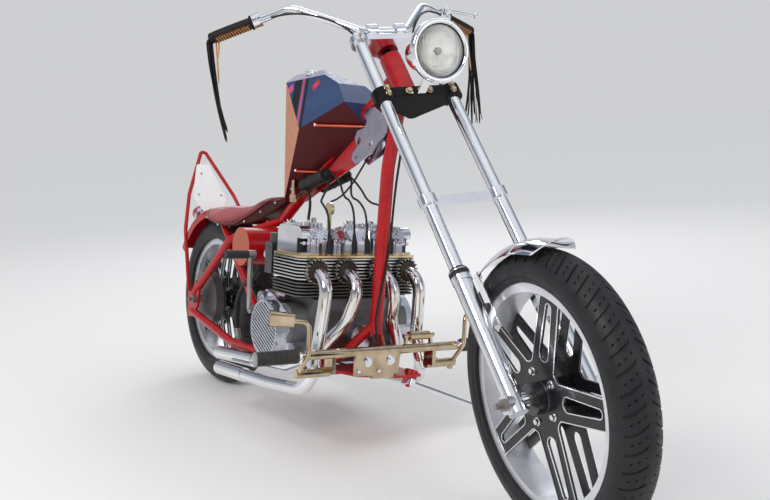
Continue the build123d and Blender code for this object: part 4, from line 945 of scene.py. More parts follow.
def treaded_tyre(radius, width, rim_radius, bead_half, pitches, sweep):
    """Section angle down the rows, wheel angle along the columns; both close on themselves."""
    half = width / 2
    share, groove, well = np.tile(TREAD_COLUMNS, (pitches, 1)).T
    base = (share + np.repeat(np.arange(pitches), len(TREAD_COLUMNS))) / pitches * 2 * math.pi
    off = np.abs(TREAD_ROWS)
    turn = -sweep * np.sin(np.radians(np.clip(off, 0, 72) * 1.25)) / radius
    cut = window(off, 7, 63, 2.0)
    wells = sum(window(off, at - reach, at + reach, 2.0) for at, reach in WELLS)
    depth = GROOVE_DEPTH * (cut[:, None] * groove + np.clip(wells, 0, 1)[:, None] * well)
    depth = depth + STEP_DEPTH * window(off, 99, 106, 2.0)[:, None]
    section = half - depth
    arm = np.radians(TREAD_ROWS)[:, None]
    # radius and place across of the bead's rows, from the left wall to the right one
    side = [
        (rim_radius + 0.9, half * 0.88), (rim_radius + 0.8, bead_half - 0.3),
        (rim_radius - 14.5, bead_half - 0.4),
    ]
    bead = np.array(side + [(r, -y) for r, y in side[::-1]])
    flat = np.zeros(len(base))
    r = np.vstack((radius - half + section * np.cos(arm), bead[:, :1] + flat))
    y = np.vstack((section * np.sin(arm), bead[:, 1:] + flat))
    angle = base + np.concatenate((turn, np.full(len(bead), turn[0])))[:, None]
    points = np.stack((r * np.cos(angle), y, r * np.sin(angle)), -1)
    return points.reshape(-1, 3), grid_faces(len(points), len(base), wrap_rows=True, wrap_columns=True)


for label, *sizes in (
    ("front", FRONT_R, 104.0, FRONT_RIM, 34.2, 50, 30.0), ("rear", REAR_R, 126.0, REAR_RIM, 41.2, 44, 26.0),
):
    tread = make_piece(f"{label}_tyre_tread", [treaded_tyre(*sizes)], f"{label}_wheel", tyre_rubber)
    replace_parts(tread, f"{label}_tyre")

# %% [markdown]
# Each wheel has five domed bolts round the hub and a valve. The bolts stand on the
# outer face of the pressed plates, on both sides of the wheel.

# %% Hub bolts and valves
def wheel_bolts(circle, face, start):
    """Five bolts on a circle about the axle, facing outwards on both sides."""
    return bolts([
        ((circle * math.cos(a), side * face, circle * math.sin(a)), (0, side, 0))
        for a in np.radians(start + 72.0 * np.arange(5)) for side in (-1, 1)
    ], hex_head(13, 6.5))


front_bolts = wheel_bolts(60, FRONT_FACE, 77 - RAKE + 36)
make_piece("front_hub_bolts", front_bolts, "front_wheel", chrome)
make_piece("rear_hub_bolts", wheel_bolts(56, REAR_FACE, 77 + 36), "rear_wheel", chrome)
valve = lathe([(0, 3.4), (7, 3.4), (9, 2.4), (24, 2.4), (24.6, 3.6), (33, 3.6), (34, 2.6)], 12)
for label, rim, spot in (("front", FRONT_RIM, 12.0), ("rear", REAR_RIM, 200.0)):
    outwards = np.array((math.cos(math.radians(spot)), 0, math.sin(math.radians(spot))))
    stem = moved(valve, aimed((rim - 21) * outwards, -outwards))
    make_piece(f"{label}_valve", [stem], f"{label}_wheel", black_rubber)

# %% [markdown]
# A roller chain is two kinds of link taking turns: a narrow pair of plates and a wide
# pair, joined by pins. A link plate is an outline of two arcs and a waist; it is
# laid along the path that the chain takes round both sprockets, one link a pitch.

# %% Path of the chain
SPROCKET_AT, SPROCKET_PATH = (0.0, 312.0), 102.0
DRIVE_AT, DRIVE_PATH = (610.0, 330.0), 46.0
CHAIN_Y = 86.0
LINKS = 106


def chain_path(count):
    """Joints of the chain, evenly spread along two straight runs and two arcs of a belt."""
    a, b = np.array(SPROCKET_AT), np.array(DRIVE_AT)
    line = b - a
    tilt = math.atan2(line[1], line[0])
    spread = math.acos((SPROCKET_PATH - DRIVE_PATH) / np.linalg.norm(line))
    t = np.linspace(0, 1, 400)
    big = tilt + spread + t * (2 * math.pi - 2 * spread)
    small = tilt - spread + t * 2 * spread
    arc_a = a + SPROCKET_PATH * np.stack((np.cos(big), np.sin(big)), -1)
    arc_b = b + DRIVE_PATH * np.stack((np.cos(small), np.sin(small)), -1)
    belt = np.vstack((arc_a, arc_b, arc_a[:1]))
    run = np.concatenate(([0], np.cumsum(np.linalg.norm(np.diff(belt, axis=0), axis=1))))
    at = np.arange(count) * run[-1] / count
    print("chain length", round(run[-1], 1), "mm, pitch", round(run[-1] / count, 2))
    return np.stack((np.interp(at, run, belt[:, 0]), np.interp(at, run, belt[:, 1])), -1)


joints = chain_path(LINKS)

# %% [markdown]
# Each joint gets a pin and a roller, and between it and the next stand two plates.
# Every second link has its plates outside its neighbours'.

# %% Chain links
PLATE_THICKNESS = 1.8


def link_plate(pitch, height, waist, y):
    """A flat plate with round ends and a waist, as two outlines joined by a rim."""
    end = np.radians(np.linspace(-72, 72, 5))
    right_end = np.stack((pitch / 2 + height / 2 * np.cos(end), height / 2 * np.sin(end)), -1)
    outline = np.vstack((right_end, [(0, waist / 2)], -right_end, [(0, -waist / 2)]))
    return closed_rings(np.stack([
        np.insert(outline, 1, y + side * PLATE_THICKNESS / 2, axis=1) for side in (-1, 1)
    ]))


ahead = np.roll(joints, -1, 0) - joints
pitch = float(np.linalg.norm(ahead, axis=1).mean())
pin = lathe([(-8.6, 2.0), (-8.4, 2.4), (8.4, 2.4), (8.6, 2.0)], 8)
roller = lathe([(-3.4, 5.0), (3.4, 5.0)], 10)
links = []
for k, ((x, z), (dx, dz)) in enumerate(zip(joints, ahead)):
    middle = (x + dx / 2, CHAIN_Y, z + dz / 2)
    place = axes((dx / pitch, 0, dz / pitch), (0, 1, 0), (-dz / pitch, 0, dx / pitch), middle)
    from_middle = 6.9 if k % 2 else 4.9
    for side in (-1, 1):
        links.append(moved(link_plate(pitch, 13.6, 9.6, side * from_middle), place))
    across = aimed((x, CHAIN_Y, z), (0, 1, 0))
    links += [moved(pin, across), moved(roller, across)]
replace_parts(make_piece("roller_chain", links, "frame", steel), "chain")

# %% [markdown]
# A headlight is a bowl of bright metal with a bulb in the middle, closed by a glass
# that bends the beam: its inner face is pressed into upright flutes crossed by a few
# level steps. The glass is one closed shell, domed outside and fluted inside, so
# light really passes through it and is spread by the flutes.

# %% Headlight glass
LIGHT_AT = np.array((212.0, 0, 893.0))
LEVEL = np.array((math.cos(math.radians(RAKE)), 0, -math.sin(math.radians(RAKE))))
LIGHT = axes(np.cross((0, 1, 0), LEVEL), (0, 1, 0), LEVEL, LIGHT_AT)
GLASS_R = 67.6
COARSE_FLUTE, FINE_FLUTE, STEP_WIDTH = 5.2, 2.6, 26


def zigzag(value, half_period):
    """A wave of straight slopes between 0 and 1."""
    return np.abs((value / half_period) % 2 - 1)


def fluted_glass(radius, edge, dome, wall, sides=180, rings=44):
    """A domed disc; the height of its inner face rises and falls with the place across."""
    rho = radius * np.sqrt(np.linspace(0.0006, 1, rings))[:, None]
    turn = np.linspace(0, 2 * math.pi, sides, endpoint=False)[None]
    x, y = rho * np.cos(turn), rho * np.sin(turn)
    bulge = dome * (1 - (rho / radius) ** 2) + 0 * turn
    inside = window(rho / radius, -1.0, 0.93, 0.05)
    coarse = np.floor((x + radius) / STEP_WIDTH) % 2 > 0
    ridge = inside * np.where(coarse, 1.5 * zigzag(y, COARSE_FLUTE), 0.8 * zigzag(y, FINE_FLUTE))
    outer = np.stack((x, y, edge + wall + bulge), -1)
    inner = np.stack((x, y, edge + bulge * 0.9 - ridge), -1)
    return closed_rings(np.concatenate((outer, inner[::-1])))


glass, shader = new_material("headlight_glass")
where = add_node(glass.node_tree, "TexCoord").outputs["Object"]
fill(shader, {
    "Base Color": (0.97, 0.98, 0.98), "Transmission Weight": 1.0, "IOR": 1.48,
    "Roughness": effect(glass.node_tree, uneven, Vector=where, Scale=40.0, Low=0.01, High=0.05),
})
pane = moved(fluted_glass(GLASS_R, 12.5, 7.0, 2.0), LIGHT)
lens = make_piece("headlight_glass", [pane], "fork", glass, 20.0)
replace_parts(lens, "headlight_lens")

# %% [markdown]
# Behind the glass lie the bowl and the bulb's cap, and round it a rubber gasket and a
# rolled rim with a screw on each side. All but the screws are lathed profiles on the
# light's own axis.

# %% Headlight reflector, bulb cap, gasket, rim and screws
reflector_metal = finish(
    "reflector_metal", (0.86, 0.82, 0.76), (0.76, 0.72, 0.67), 1.0, (0.30, 0.42), settled=0.02
)
BOWL = [(3.6, 60), (5.0, 68.0), (11.8, 68.0)]
BOWL += [(4.8 + 6.6 * (r / 67) ** 4, r) for r in np.linspace(67.0, 10, 12)]
GASKET = [(13.5, 68.1), (15.8, 68.1), (16.4, 67.2), (16.0, 66.0), (14.9, 65.6), (14.2, 66.6)]
RIM_R = 79.8
RIM = [
    (3.5, RIM_R), (12.0, 80.0), (12.6, 81.0), (15.4, 81.0), (16.0, 80.0), (19.8, 80.0), (22.3, 78.5),
    (23.8, 75.6), (24.0, 72.8), (22.9, 70.2), (20.6, 68.6), (17.0, 68.2), (3.5, 68.2),
]
BULB_CAP = [(4.6, 10), (9.6, 9.4), (10.4, 5)]
for name, part, material, sharp, slot in (
    ("headlight_reflector", lathe(BOWL, 64), reflector_metal, 35.0, None),
    ("headlight_gasket", turned_ring(GASKET, 96), black_rubber, 35.0, "black_rubber"),
    ("headlight_rim", turned_ring(RIM, 128), chrome, 40.0, "chrome"),
    ("headlight_bulb_cap", lathe(BULB_CAP, 24), steel, 35.0, "chrome"),
):
    make_piece(name, [moved(part, LIGHT)], "fork", material, sharp)
rim_screws = bolts(
    [(LIGHT_AT + LEVEL * 8 + (0, side * RIM_R, 0), (0, side, 0)) for side in (1, -1)], cap_screw(8, 4)
)
make_piece("headlight_screws", rim_screws, "fork", steel)

# %% [markdown]
# The seat is a thin leather pad on a pan. Its middle line runs nearly level from the
# rear and then climbs along the frame to a narrow nose, while its sides droop, most
# of all where the rider's legs pass. It starts as stations along the machine, each a
# closed outline across; the underside follows the fender, so it is cut to the
# fender's circle.

# %% Seat shape
SEAT_X = np.array((-64, -58, -40, 0, 60, 101, 166, 224, 259, 292, 319, 350, 384, 420, 453, 464, 469), float)
SEAT_HALF = np.array((14, 42, 70, 99, 126, 139, 139, 123, 106, 87, 72, 59, 47, 38, 27, 20, 10), float)
SEAT_TOP = np.array(
    (645, 650, 653, 656, 659, 661, 662, 669, 677, 688, 698, 706, 711, 713, 714, 713, 709), float
)
SEAT_DROP = np.array((1, 4, 8, 19, 33, 40, 52, 62, 64, 52, 44, 29, 13, 5, 2, 1, 0), float)
SEAT_THICK = np.array((11, 12, 13, 15, 21, 24, 26, 27, 32, 44, 52, 58, 58, 45, 26, 14, 6), float)
SEAT_INSET = 2.0
EDGE_POWER = 0.45
LEAST_THICK = 8.0
FENDER_CLEAR = 330.2


def signed_power(value, power):
    """A number's size raised to a power, with its sign kept."""
    return np.sign(value) * np.abs(value) ** power


def seat_outline(stations, around):
    """Rings across the seat: a crowned top that droops to its sides, rolled edges, an underside."""
    x = SEAT_X[0] + (SEAT_X[-1] - SEAT_X[0]) * (0.5 - 0.5 * np.cos(np.linspace(0, math.pi, stations)))
    x = x[:, None]
    half, top, drop, thick = (
        np.interp(x, SEAT_X, row) for row in (SEAT_HALF, SEAT_TOP, SEAT_DROP, SEAT_THICK)
    )
    half = half - SEAT_INSET
    turn = np.linspace(0, 2 * math.pi, around, endpoint=False)[None]
    y = half * signed_power(np.cos(turn), EDGE_POWER)
    share = signed_power(np.sin(turn), EDGE_POWER)
    below = share < 0
    hull = np.clip(1.0 - 0.34 * np.interp(x, (-64, 200, 330), (1.0, 0.8, 0.0)), 0, 1)
    y = np.where(below, y * (1 - (1 - hull) * np.abs(share) ** 0.7), y)
    roof = top - SEAT_INSET - drop * np.abs(y / half) ** 2.2
    z = roof - thick / 2 * (1 - share)
    under = window(np.abs(y), -1.0, 88.0, 8.0) * (np.abs(x) < FENDER_CLEAR)
    arch = REAR_R + np.sqrt(np.clip(FENDER_CLEAR**2 - x**2, 0, None)) + 0 * y
    z = np.where(below, z + under * (np.maximum(z, arch) - z), z)
    z = np.minimum(z, roof - np.where(below, LEAST_THICK, 0.0))
    return np.stack((x + 0 * y, y, z), -1)


stations = seat_outline(64, 72)[:, ::-1]
print("seat of", stations.shape[0], "stations, widest", (stations[..., 1].max() * 2).round(1), "mm")

# %% [markdown]
# The leather is dark red. Where it faces straight up it is painted paler, a painted
# highlight for the sky's reflection, and its drooping flanks are painted a deep maroon
# as painted shade. Its grain is a net of fine creases round small cells, with pores on
# them, and both only raise a bump, because they are far finer than the mesh.

# %% Seat leather
leather, shader = new_material("seat_leather")
tree = leather.node_tree
where = add_node(tree, "TexCoord").outputs["Object"]
creases = add_node(tree, "TexVoronoi", {"Vector": where, "Scale": 260.0}, feature="DISTANCE_TO_EDGE")
cells = add_node(tree, "MapRange", {"Value": creases.outputs["Distance"], "From Max": 0.12})
height = Field(cells.outputs["Result"]) + effect(tree, grain, Vector=where, Scale=900.0, Height=0.6)
pebble = add_node(tree, "Bump", {"Height": height, "Strength": 0.35, "Distance": 0.0005})
wear = effect(tree, uneven, Vector=where, Scale=9.0, Low=0.0, High=1.0)
fill(shader, {
    "Base Color": mix(tree, wear, (0.40, 0.085, 0.090), (0.31, 0.055, 0.060)),
    "Roughness": effect(tree, uneven, Vector=where, Scale=30.0, Low=0.30, High=0.46),
    "Normal": pebble.outputs["Normal"],
    "Coat Weight": 0.12, "Coat Roughness": 0.3, "Specular IOR Level": 0.3,
})
upwards = upright(leather, "frame", "Normal")[2]
# painted highlight: where the top faces straight up it is painted pale pink, for the sky's reflection
overlay(leather, upwards.above(0.965, 0.05), (0.62, 0.36, 0.40), rough=0.42)
# painted shade: the drooping flanks, which face away from the sky, are painted a deep maroon
overlay(leather, upwards.below(0.62, 0.36), (0.046, 0.004, 0.003), rough=0.5)

seat = make_piece("seat", [closed_rings(stations)], "frame", leather, 60.0)
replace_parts(seat, "seat_cushion")

# %% [markdown]
# A cloth simulation with a little pressure inside then swells the leather, as
# stuffing does. It works on a remeshed copy, so that its triangles are even, and it
# runs without gravity, because only the pressure should move the leather.

# %% Even mesh and cloth pressure
FRAMES_OF_CLOTH = 20


def places(mesh):
    """The points of a mesh as an array, in metres."""
    flat = np.empty(len(mesh.vertices) * 3)
    mesh.vertices.foreach_get("co", flat)
    return flat.reshape(-1, 3)


def remeshed(piece, voxel):
    """Gives a piece an even mesh of one voxel size, in millimetres, with its material kept."""
    remesh = piece.modifiers.new("even", "REMESH")
    remesh.mode = "VOXEL"
    remesh.voxel_size = voxel / 1000
    even = bpy.data.meshes.new_from_object(piece.evaluated_get(bpy.context.evaluated_depsgraph_get()))
    piece.modifiers.remove(remesh)
    old = piece.data
    material = old.materials[0]
    piece.data = even
    bpy.data.meshes.remove(old)
    even.materials.clear()
    even.materials.append(material)
    even.shade_smooth()
    return even


def blown_up(piece, pressure):
    """Where the points of a piece are after a cloth simulation with pressure and no gravity."""
    cloth = piece.modifiers.new("cloth", "CLOTH")
    settings = cloth.settings
    settings.quality = 5
    settings.mass = 0.3
    settings.tension_stiffness = settings.compression_stiffness = 25
    settings.bending_stiffness = 2.0
    settings.use_pressure = True
    settings.uniform_pressure_force = pressure
    settings.effector_weights.gravity = 0.0
    cloth.point_cache.frame_start = 1
    cloth.point_cache.frame_end = FRAMES_OF_CLOTH
    for moment in range(1, FRAMES_OF_CLOTH + 1):
        bpy.context.scene.frame_set(moment)
    end = places(piece.evaluated_get(bpy.context.evaluated_depsgraph_get()).data)
    piece.modifiers.remove(cloth)
    bpy.context.scene.frame_set(1)
    return end


print("cloth runs for", FRAMES_OF_CLOTH, "frames")

# %% [markdown]
# When the simulation is done, each point keeps only part of its movement: none below
# the seat, where the pan and fender are, and at most a few millimetres above. One
# subdivision then smooths the even triangles.

# %% Swell the seat
FADE = 10.0


def swell(piece, voxel, pressure, cap, floor_x, floor_z):
    """Moves each point as cloth pressure does, up to a cap, and by how far it is above a line."""
    bpy.context.view_layer.objects.active = piece
    even = remeshed(piece, voxel)
    start = places(even)
    move = blown_up(piece, pressure) - start
    length = np.linalg.norm(move, axis=1, keepdims=True)
    move = move * np.minimum(1.0, cap / 1000 / np.maximum(length, 1e-9))
    x, _, z = carried(start * 1000, np.linalg.inv(BIKE)).T
    weight = np.clip((z - np.interp(x, floor_x, floor_z)) / FADE, 0, 1)[:, None]
    even.vertices.foreach_set("co", (start + move * weight).ravel())
    even.update()
    print(piece.name, len(start), "points, pressure alone moves them", (length.max() * 1000).round(1), "mm")


swell(seat, 5.0, 4.0, 5.0, SEAT_X, SEAT_TOP - SEAT_THICK / 2 + 2)
finer = seat.modifiers.new("smooth", "SUBSURF")
finer.levels = finer.render_levels = 1

# %% [markdown]
# A rolled welt runs round the drooping rim and along both edges of the nose, and
# domed studs hold the leather to the pan. The welt is a tube whose path is read from
# the seat's own stations.

# %% Seat welt and studs
WELT_REAR = -50
edge_x = np.concatenate((np.linspace(WELT_REAR, 450, 60), [462]))
edge_half = np.interp(edge_x, SEAT_X, SEAT_HALF) - 2.2
edge_z = np.interp(edge_x, SEAT_X, SEAT_TOP - SEAT_DROP) - 4.6
right_edge = np.column_stack((edge_x, -edge_half, edge_z))
rear_turn = np.radians(np.linspace(0, 180, 13))[1:-1]
rear_edge = np.column_stack((
    WELT_REAR - 10 * np.sin(rear_turn), -edge_half[0] * np.cos(rear_turn), np.full(11, edge_z[0] - 2.0)
))
welt_path = np.vstack((right_edge[::-1], rear_edge, right_edge * (1, -1, 1)))
welt_leather = finish(
    "welt_leather", (0.20, 0.030, 0.032), (0.14, 0.018, 0.020), 0.0, (0.28, 0.40), settled=0.05, bump=0.2
)
welt = along_path(smooth_path(welt_path[::2], 260), 2.8, 10)
make_piece("seat_welt", [welt], "frame", welt_leather)
stud_places = []
for side in (-1, 1):
    for x in (60, 180, 290, 352, 418):
        half_here = np.interp(x, SEAT_X, SEAT_HALF)
        z = np.interp(x, SEAT_X, SEAT_TOP - SEAT_DROP - 0.42 * SEAT_THICK)
        stud_places.append(((x, side * (half_here - 1.4), z), (0, side, 0)))
make_piece("seat_studs", bolts(stud_places, dome_head(8.5, 3.2)), "frame", chrome)

# %% [markdown]
# Leather grips are sewn on, and their seam faces down and forward. A place on a grip
# is given by a distance along the bar, a radius and an angle from the seam: a cosine
# of the seam's direction and a sine of the one square to it.

# %% Places round the grips
BAR_KNEE = np.array((-42.0, -212.0, 1334.0))
BAR_END = np.array((-156.0, -424.0, 1339.0))
GRIP_DIR = unit(BAR_END - BAR_KNEE)
GRAVITY = np.array((-0.655, -0.006, -0.7555))
GRIP_LENGTH = 122
GRIP_R = 17.0


def square_to_bar(vector):
    """Unit vector of what is left of a vector when its part along the grip is taken away."""
    return unit(vector - GRIP_DIR * (vector @ GRIP_DIR))


SEAM = square_to_bar(square_to_bar(GRAVITY) * 0.80 + np.array((0.5, -0.27, -0.39)) * 0.75)
SEAM_SIDE = np.cross(GRIP_DIR, SEAM)
GRIP_START = BAR_END - GRIP_DIR * GRIP_LENGTH


def on_grip(along, radius, turn):
    """Points at a distance along the grip, a radius and an angle round it from its seam."""
    return GRIP_START + GRIP_DIR * along + radius * (SEAM * np.cos(turn) + SEAM_SIDE * np.sin(turn))


print("grip starts at", GRIP_START.round(1), "and its seam faces", SEAM.round(3))

# %% [markdown]
# A strip of hide is wrapped round the bar with the dark side up, and its edges are
# laced together underneath, where the lighter flesh side shows. Each grip is a lathed
# sleeve with a flared inner end, the flesh side is a thin strip over the seam, and the
# lacing is a row of small loops across it.

# %% Leather grips and their lacing
grip_leather = finish(
    "grip_leather", (0.008, 0.007, 0.008), (0.016, 0.013, 0.013), 0.0, (0.46, 0.62), settled=0.04, bump=0.6,
    grain_scale=700.0, patch=60.0, specular=0.2,
)
flesh_leather = finish(
    "grip_leather_flesh_side", (0.20, 0.060, 0.014), (0.055, 0.016, 0.007), 0.0, (0.6, 0.8), settled=0.05,
    bump=0.8, grain_scale=600.0, patch=90.0, specular=0.2,
)
lace_leather = finish(
    "lace_leather", (0.56, 0.33, 0.12), (0.44, 0.22, 0.07), 0.0, (0.5, 0.7), settled=0.05, bump=0.3
)
SLEEVE = [
    (-2, 12.4), (-1.4, 20.2), (0.6, 21.4), (4.2, 21.2), (5.8, 18.6), (8, 16.4), (30, 16.9), (62, GRIP_R),
    (96, 16.8), (116, 16.4), (122, 15.0), (125, 10.5), (126, 4),
]
sleeve = moved(lathe(SLEEVE, 48), aimed(GRIP_START, GRIP_DIR))
steps = np.linspace(9, 114, 40)[:, None, None]
turn = np.radians(np.linspace(-46, 46, 15))[None, :, None]
skin = 0.7 + 0.5 * np.cos(turn * 90 / 46)
strip_rings = (on_grip(steps, GRIP_R + skin, turn), on_grip(steps, 15.8, turn)[:, ::-1])
strip = closed_rings(np.concatenate(strip_rings, axis=1))
turn = np.radians(np.linspace(-36, 36, 9))[:, None]
skew = 3.2 * np.linspace(-1, 1, 9)[:, None]
bow = 18.1 + 1.0 * np.cos(turn * 90 / 36)
laces = [along_path(on_grip(along + skew, bow, turn), 1.3, 6) for along in np.linspace(15, 108, 13)]
for name, parts, material in (
    ("grip_sleeve", [sleeve], grip_leather), ("grip_flesh_strip", [strip], flesh_leather),
    ("grip_lacing", laces, lace_leather),
):
    for label, group in (("right", parts), ("left", [mirrored_y(p) for p in parts])):
        piece = make_piece(f"{name}_{label}", group, "fork", material)
        if name == "grip_sleeve" and label == "right":
            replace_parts(piece, "grips")

# %% [markdown]
# From the end of each grip hangs a bunch of long thongs, one piece of hide cut into
# strips below a narrow band. Each strip is a narrow ribbon that leaves the grip's end,
# bends over and hangs straight down, with a slight sway and twist of its own, and the
# ribbons fan out only near their tips.

# %% Shape of a thong
THONG_W = 5.0
THONG_T = 1.3
TAPER = 12


def thong(start, out, fall, length, sway, twist, phase, bend=16.0):
    """A ribbon: its middle line bends from the outward to the falling direction, then sways."""
    s = np.linspace(0, length, 46)[:, None]
    f = np.clip(s / bend, 0, 1)
    line = start + out * (bend * (f - f**2 / 2)) + fall * (s - bend * (f - f**2 / 2) * 0.6)
    lean = (s / length) ** 2
    line = line + sway * lean + np.cross(fall, sway + 1e-6) * 0.12 * np.sin(s / 38 + phase) * lean
    ahead = directions(line)
    base = unit(np.cross(fall, out))
    angle = phase + twist * s / length
    wide = base * np.cos(angle) + np.cross(ahead, base) * np.sin(angle)
    wide -= ahead * (wide * ahead).sum(1, keepdims=True)
    wide /= np.linalg.norm(wide, axis=1, keepdims=True)
    taper = np.where(s > length - TAPER, 1 - (s - length + TAPER) / TAPER * 0.8, 1.0)
    across = THONG_W / 2 * taper * wide
    through = THONG_T / 2 * np.cross(ahead, wide)
    corners = (across + through, through - across, -across - through, across - through)
    return closed_rings(np.stack([line + corner for corner in corners], 1))


print("thongs are", THONG_W, "by", THONG_T, "mm")

# %% [markdown]
# The right bunch is tight and hangs close to the bar's end, and the left one spreads
# and leans out less. A knot of leather closes the end of the grip, and the lacing
# leaves two pale ends of its own.

# %% Hanging thongs, knots and lace ends
KNOT = [(-3, 4), (-2, 13), (2, 16.0), (6, 16.0), (11, 13.5), (14, 6)]
THONGS = 14
LACE_ENDS = (118, 72)
rng = np.random.default_rng(11)
fall = unit(GRAVITY)
for label, side, flare, gather in (("right", -1, 6, 26), ("left", 1, 26, 6)):
    flip = np.array((1, -side, 1))
    out = GRIP_DIR * flip
    tip = BAR_END * flip + out * 3
    ahead = np.cross(out, fall)
    strips, flat_area = [], 0.0
    for k in range(THONGS):
        c, s = math.cos(2 * math.pi * k / THONGS), math.sin(2 * math.pi * k / THONGS)
        offset = (10.0 if k % 2 else 5.0) * (c * ahead - 0.8 * s * out)
        length = 300 + rng.uniform(-26, 14)
        sway = flare * (c * ahead + 0.7 * s * out) + rng.normal(0, 4.0, 3) - out * gather
        strips.append(thong(tip + offset, out, fall, length, sway, rng.uniform(1, 4), rng.uniform(0, 6)))
        flat_area += length * THONG_W / 1e6
    piece = make_piece(f"grip_thongs_{label}", strips, "fork", grip_leather)
    knot = moved(lathe(KNOT, 28), aimed(tip - out * 4, out))
    make_piece(f"grip_knot_{label}", [knot], "fork", grip_leather)
    pale = [
        thong(tip - out * (13 + 8 * k) + fall * 15, out * 0.4, fall, length, out * 7 + rng.normal(0, 3, 3),
              2.0, 0.5 + k, bend=8.0)
        for k, length in enumerate(LACE_ENDS)
    ]
    piece = make_piece(f"grip_lace_ends_{label}", pale, "fork", lace_leather)

# %% [markdown]
# Many small fittings hold a machine like this together, and each sits on the part that
# carries it: cap screws round the engine covers, hexagon bolts on the brackets, nuts on
# the fork. They are all copies of a few low shapes, placed by a point and a direction.

# %% Engine screws and bracket bolts
BRACKET_X = 1068
AHEAD = (1, 0, 0)


def circle_places(centre, radius, count, y, start=0.0, skip=()):
    """Points on a circle in the machine's side view, facing right if y is negative."""
    angles = [math.radians(start + 360 * k / count) for k in range(count) if k not in skip]
    return [
        ((centre[0] + radius * math.cos(a), y, centre[1] + radius * math.sin(a)), (0, math.copysign(1, y), 0))
        for a in angles
    ]


cover_screws = bolts(circle_places((770, 332), 86, 8, -233.5, 22, skip=(2,)), cap_screw(9, 4.5))
cover_screws += bolts(circle_places((830, 355), 40, 3, -213.6, 30), cap_screw(7, 3.5))
cover_screws += bolts(circle_places((800, 345), 78, 6, 211.6, 10), cap_screw(9, 4.5))
make_piece("cover_screws", cover_screws, "frame", steel)
plate_bolts = bolts([((BRACKET_X, y, z), AHEAD) for y, z in ((-63, 277), (13, 278))], hex_head(19, 8))
plate_bolts += bolts([((BRACKET_X, y, z), AHEAD) for y, z in ((-92, 252), (-26, 250))], cap_screw(11, 5))
make_piece("control_bolts", plate_bolts, "frame", chrome)

# %% [markdown]
# The fork carries its own hardware: nuts on the tops of the legs, pinch bolts in both
# yokes, rubber dust seals where the tubes slide into the lower legs, and the screws of
# the mudguard stays. Warm plated bolts in the lower yoke stand out on black paint.

# %% Fork hardware
LEG_Y = 100.0
LEG_TOP, STEM_TOP = 1116.0, 1122.0
nut = lathe([(-0.5, 17.4), (3, 17.4), (4, 16.2), (4.2, 13)], 32)
hexagon = lathe([(3, 12.2), (12, 12.2), (13.6, 10.6), (13.8, 4)], 6)
stem_nut = lathe([(0, 14), (9, 14), (10.5, 12.4), (10.6, 5)], 6)
seal = lathe([(315, 24.6), (339, 25.4), (345, 24.2), (350, 20.2), (351.5, 18.3)], 40)
fork_nuts, yoke_bolts, seals, stay_bolts = [], [], [], []
for side in (-1, 1):
    y = side * LEG_Y
    fork_nuts += [moved(part, shifted(FORK_OFFSET, y, LEG_TOP)) for part in (nut, hexagon)]
    yoke_bolts += bolts([((72.5, y + side * 6, 1100), AHEAD)], cap_screw(9, 6))
    yoke_bolts += bolts([((74.5, y - side * 4, z), AHEAD) for z in (886, 904)], hex_head(11, 6))
    seals.append(moved(seal, shifted(FORK_OFFSET, y, 0)))
    stay_bolts += bolts([((50, side * 63, z), (0, side, 0)) for z in (196, 232)], hex_head(10, 4.5))
yoke_bolts += bolts([((66.2, side * 30, 896), AHEAD) for side in (-1, 1)], hex_head(14, 6))
fork_nuts.append(moved(stem_nut, shifted(0, 0, STEM_TOP)))
make_piece("fork_top_nuts", fork_nuts, "fork", chrome)
make_piece("yoke_bolts", yoke_bolts, "fork", nickel)
make_piece("dust_seals", seals, "fork", black_rubber)
make_piece("stay_bolts", stay_bolts, "fork", steel)

# %% [markdown]
# Two slim rods tie the tank to the frame on each side, held by domed nuts. The rods
# follow the lower panel of the tank, a little above its surface, so the third
# coordinate of each end comes from the panel's plane.

# %% Tank rods and nuts
ROD_RAISED = 5.5
LOW_PANEL = PANELS[2][1:4]
LOW_CORNER = np.array(LOW_PANEL[0], float)
low_normal = panel_normal(*LOW_PANEL)


def on_low_panel(x, z):
    """The point of the tank's low right panel at a place in the side view."""
    dx, _, dz = np.array((x, 0, z)) - LOW_CORNER
    return np.array((x, LOW_CORNER[1] - (dx * low_normal[0] + dz * low_normal[2]) / low_normal[1], z))


rod_paint = finish(
    "rod_paint", (0.62, 0.075, 0.012), (0.50, 0.04, 0.01), 0.0, (0.22, 0.36), settled=0.05, coat=0.3
)
tank_rods, tank_nuts = [], []
for ends in (((770, 938), (930, 938)), ((600, 800), (715, 800))):
    seats = [on_low_panel(x, z) for x, z in ends]
    for flip in ((1, 1, 1), (1, -1, 1)):
        rod = np.linspace(*(seat_at + low_normal * ROD_RAISED for seat_at in seats), 9) * flip
        tank_rods.append(along_path(rod, 3.6, 12))
        tank_nuts += bolts([(seat_at * flip, low_normal * flip) for seat_at in seats], dome_head(12, 9))
make_piece("tank_rods", tank_rods, "frame", rod_paint)
make_piece("tank_nuts", tank_nuts, "frame", chrome)

# %% [markdown]
# A filler cap closes the tank on top. Its rim is knurled: the radius of its middle
# rings jumps between two values eighteen times round.

# %% Filler cap
KNURLS = 18
CAP_LEVELS = ((-1.5, 26), (1.0, 27.5), (9.0, 27.5), (11.5, 25.5), (12.6, 18), (13.4, 8))
turn = np.linspace(0, 2 * math.pi, 72, endpoint=False)
level, radius = np.array(CAP_LEVELS).T[:, :, None]
radius = radius + 0.8 * ((1.5 < level) & (level < 10)) * np.sign(np.sin(turn * KNURLS))
cap = closed_rings(np.stack((radius * np.cos(turn), radius * np.sin(turn), level + 0 * turn), -1))
make_piece("filler_cap", [moved(cap, shifted(575, 0, 1103.5))], "frame", chrome)

# %% [markdown]
# A bare white plate fills most of the hoop behind the seat. It is a flat board with
# six corners, bolted to the hoop, and it stays blank.

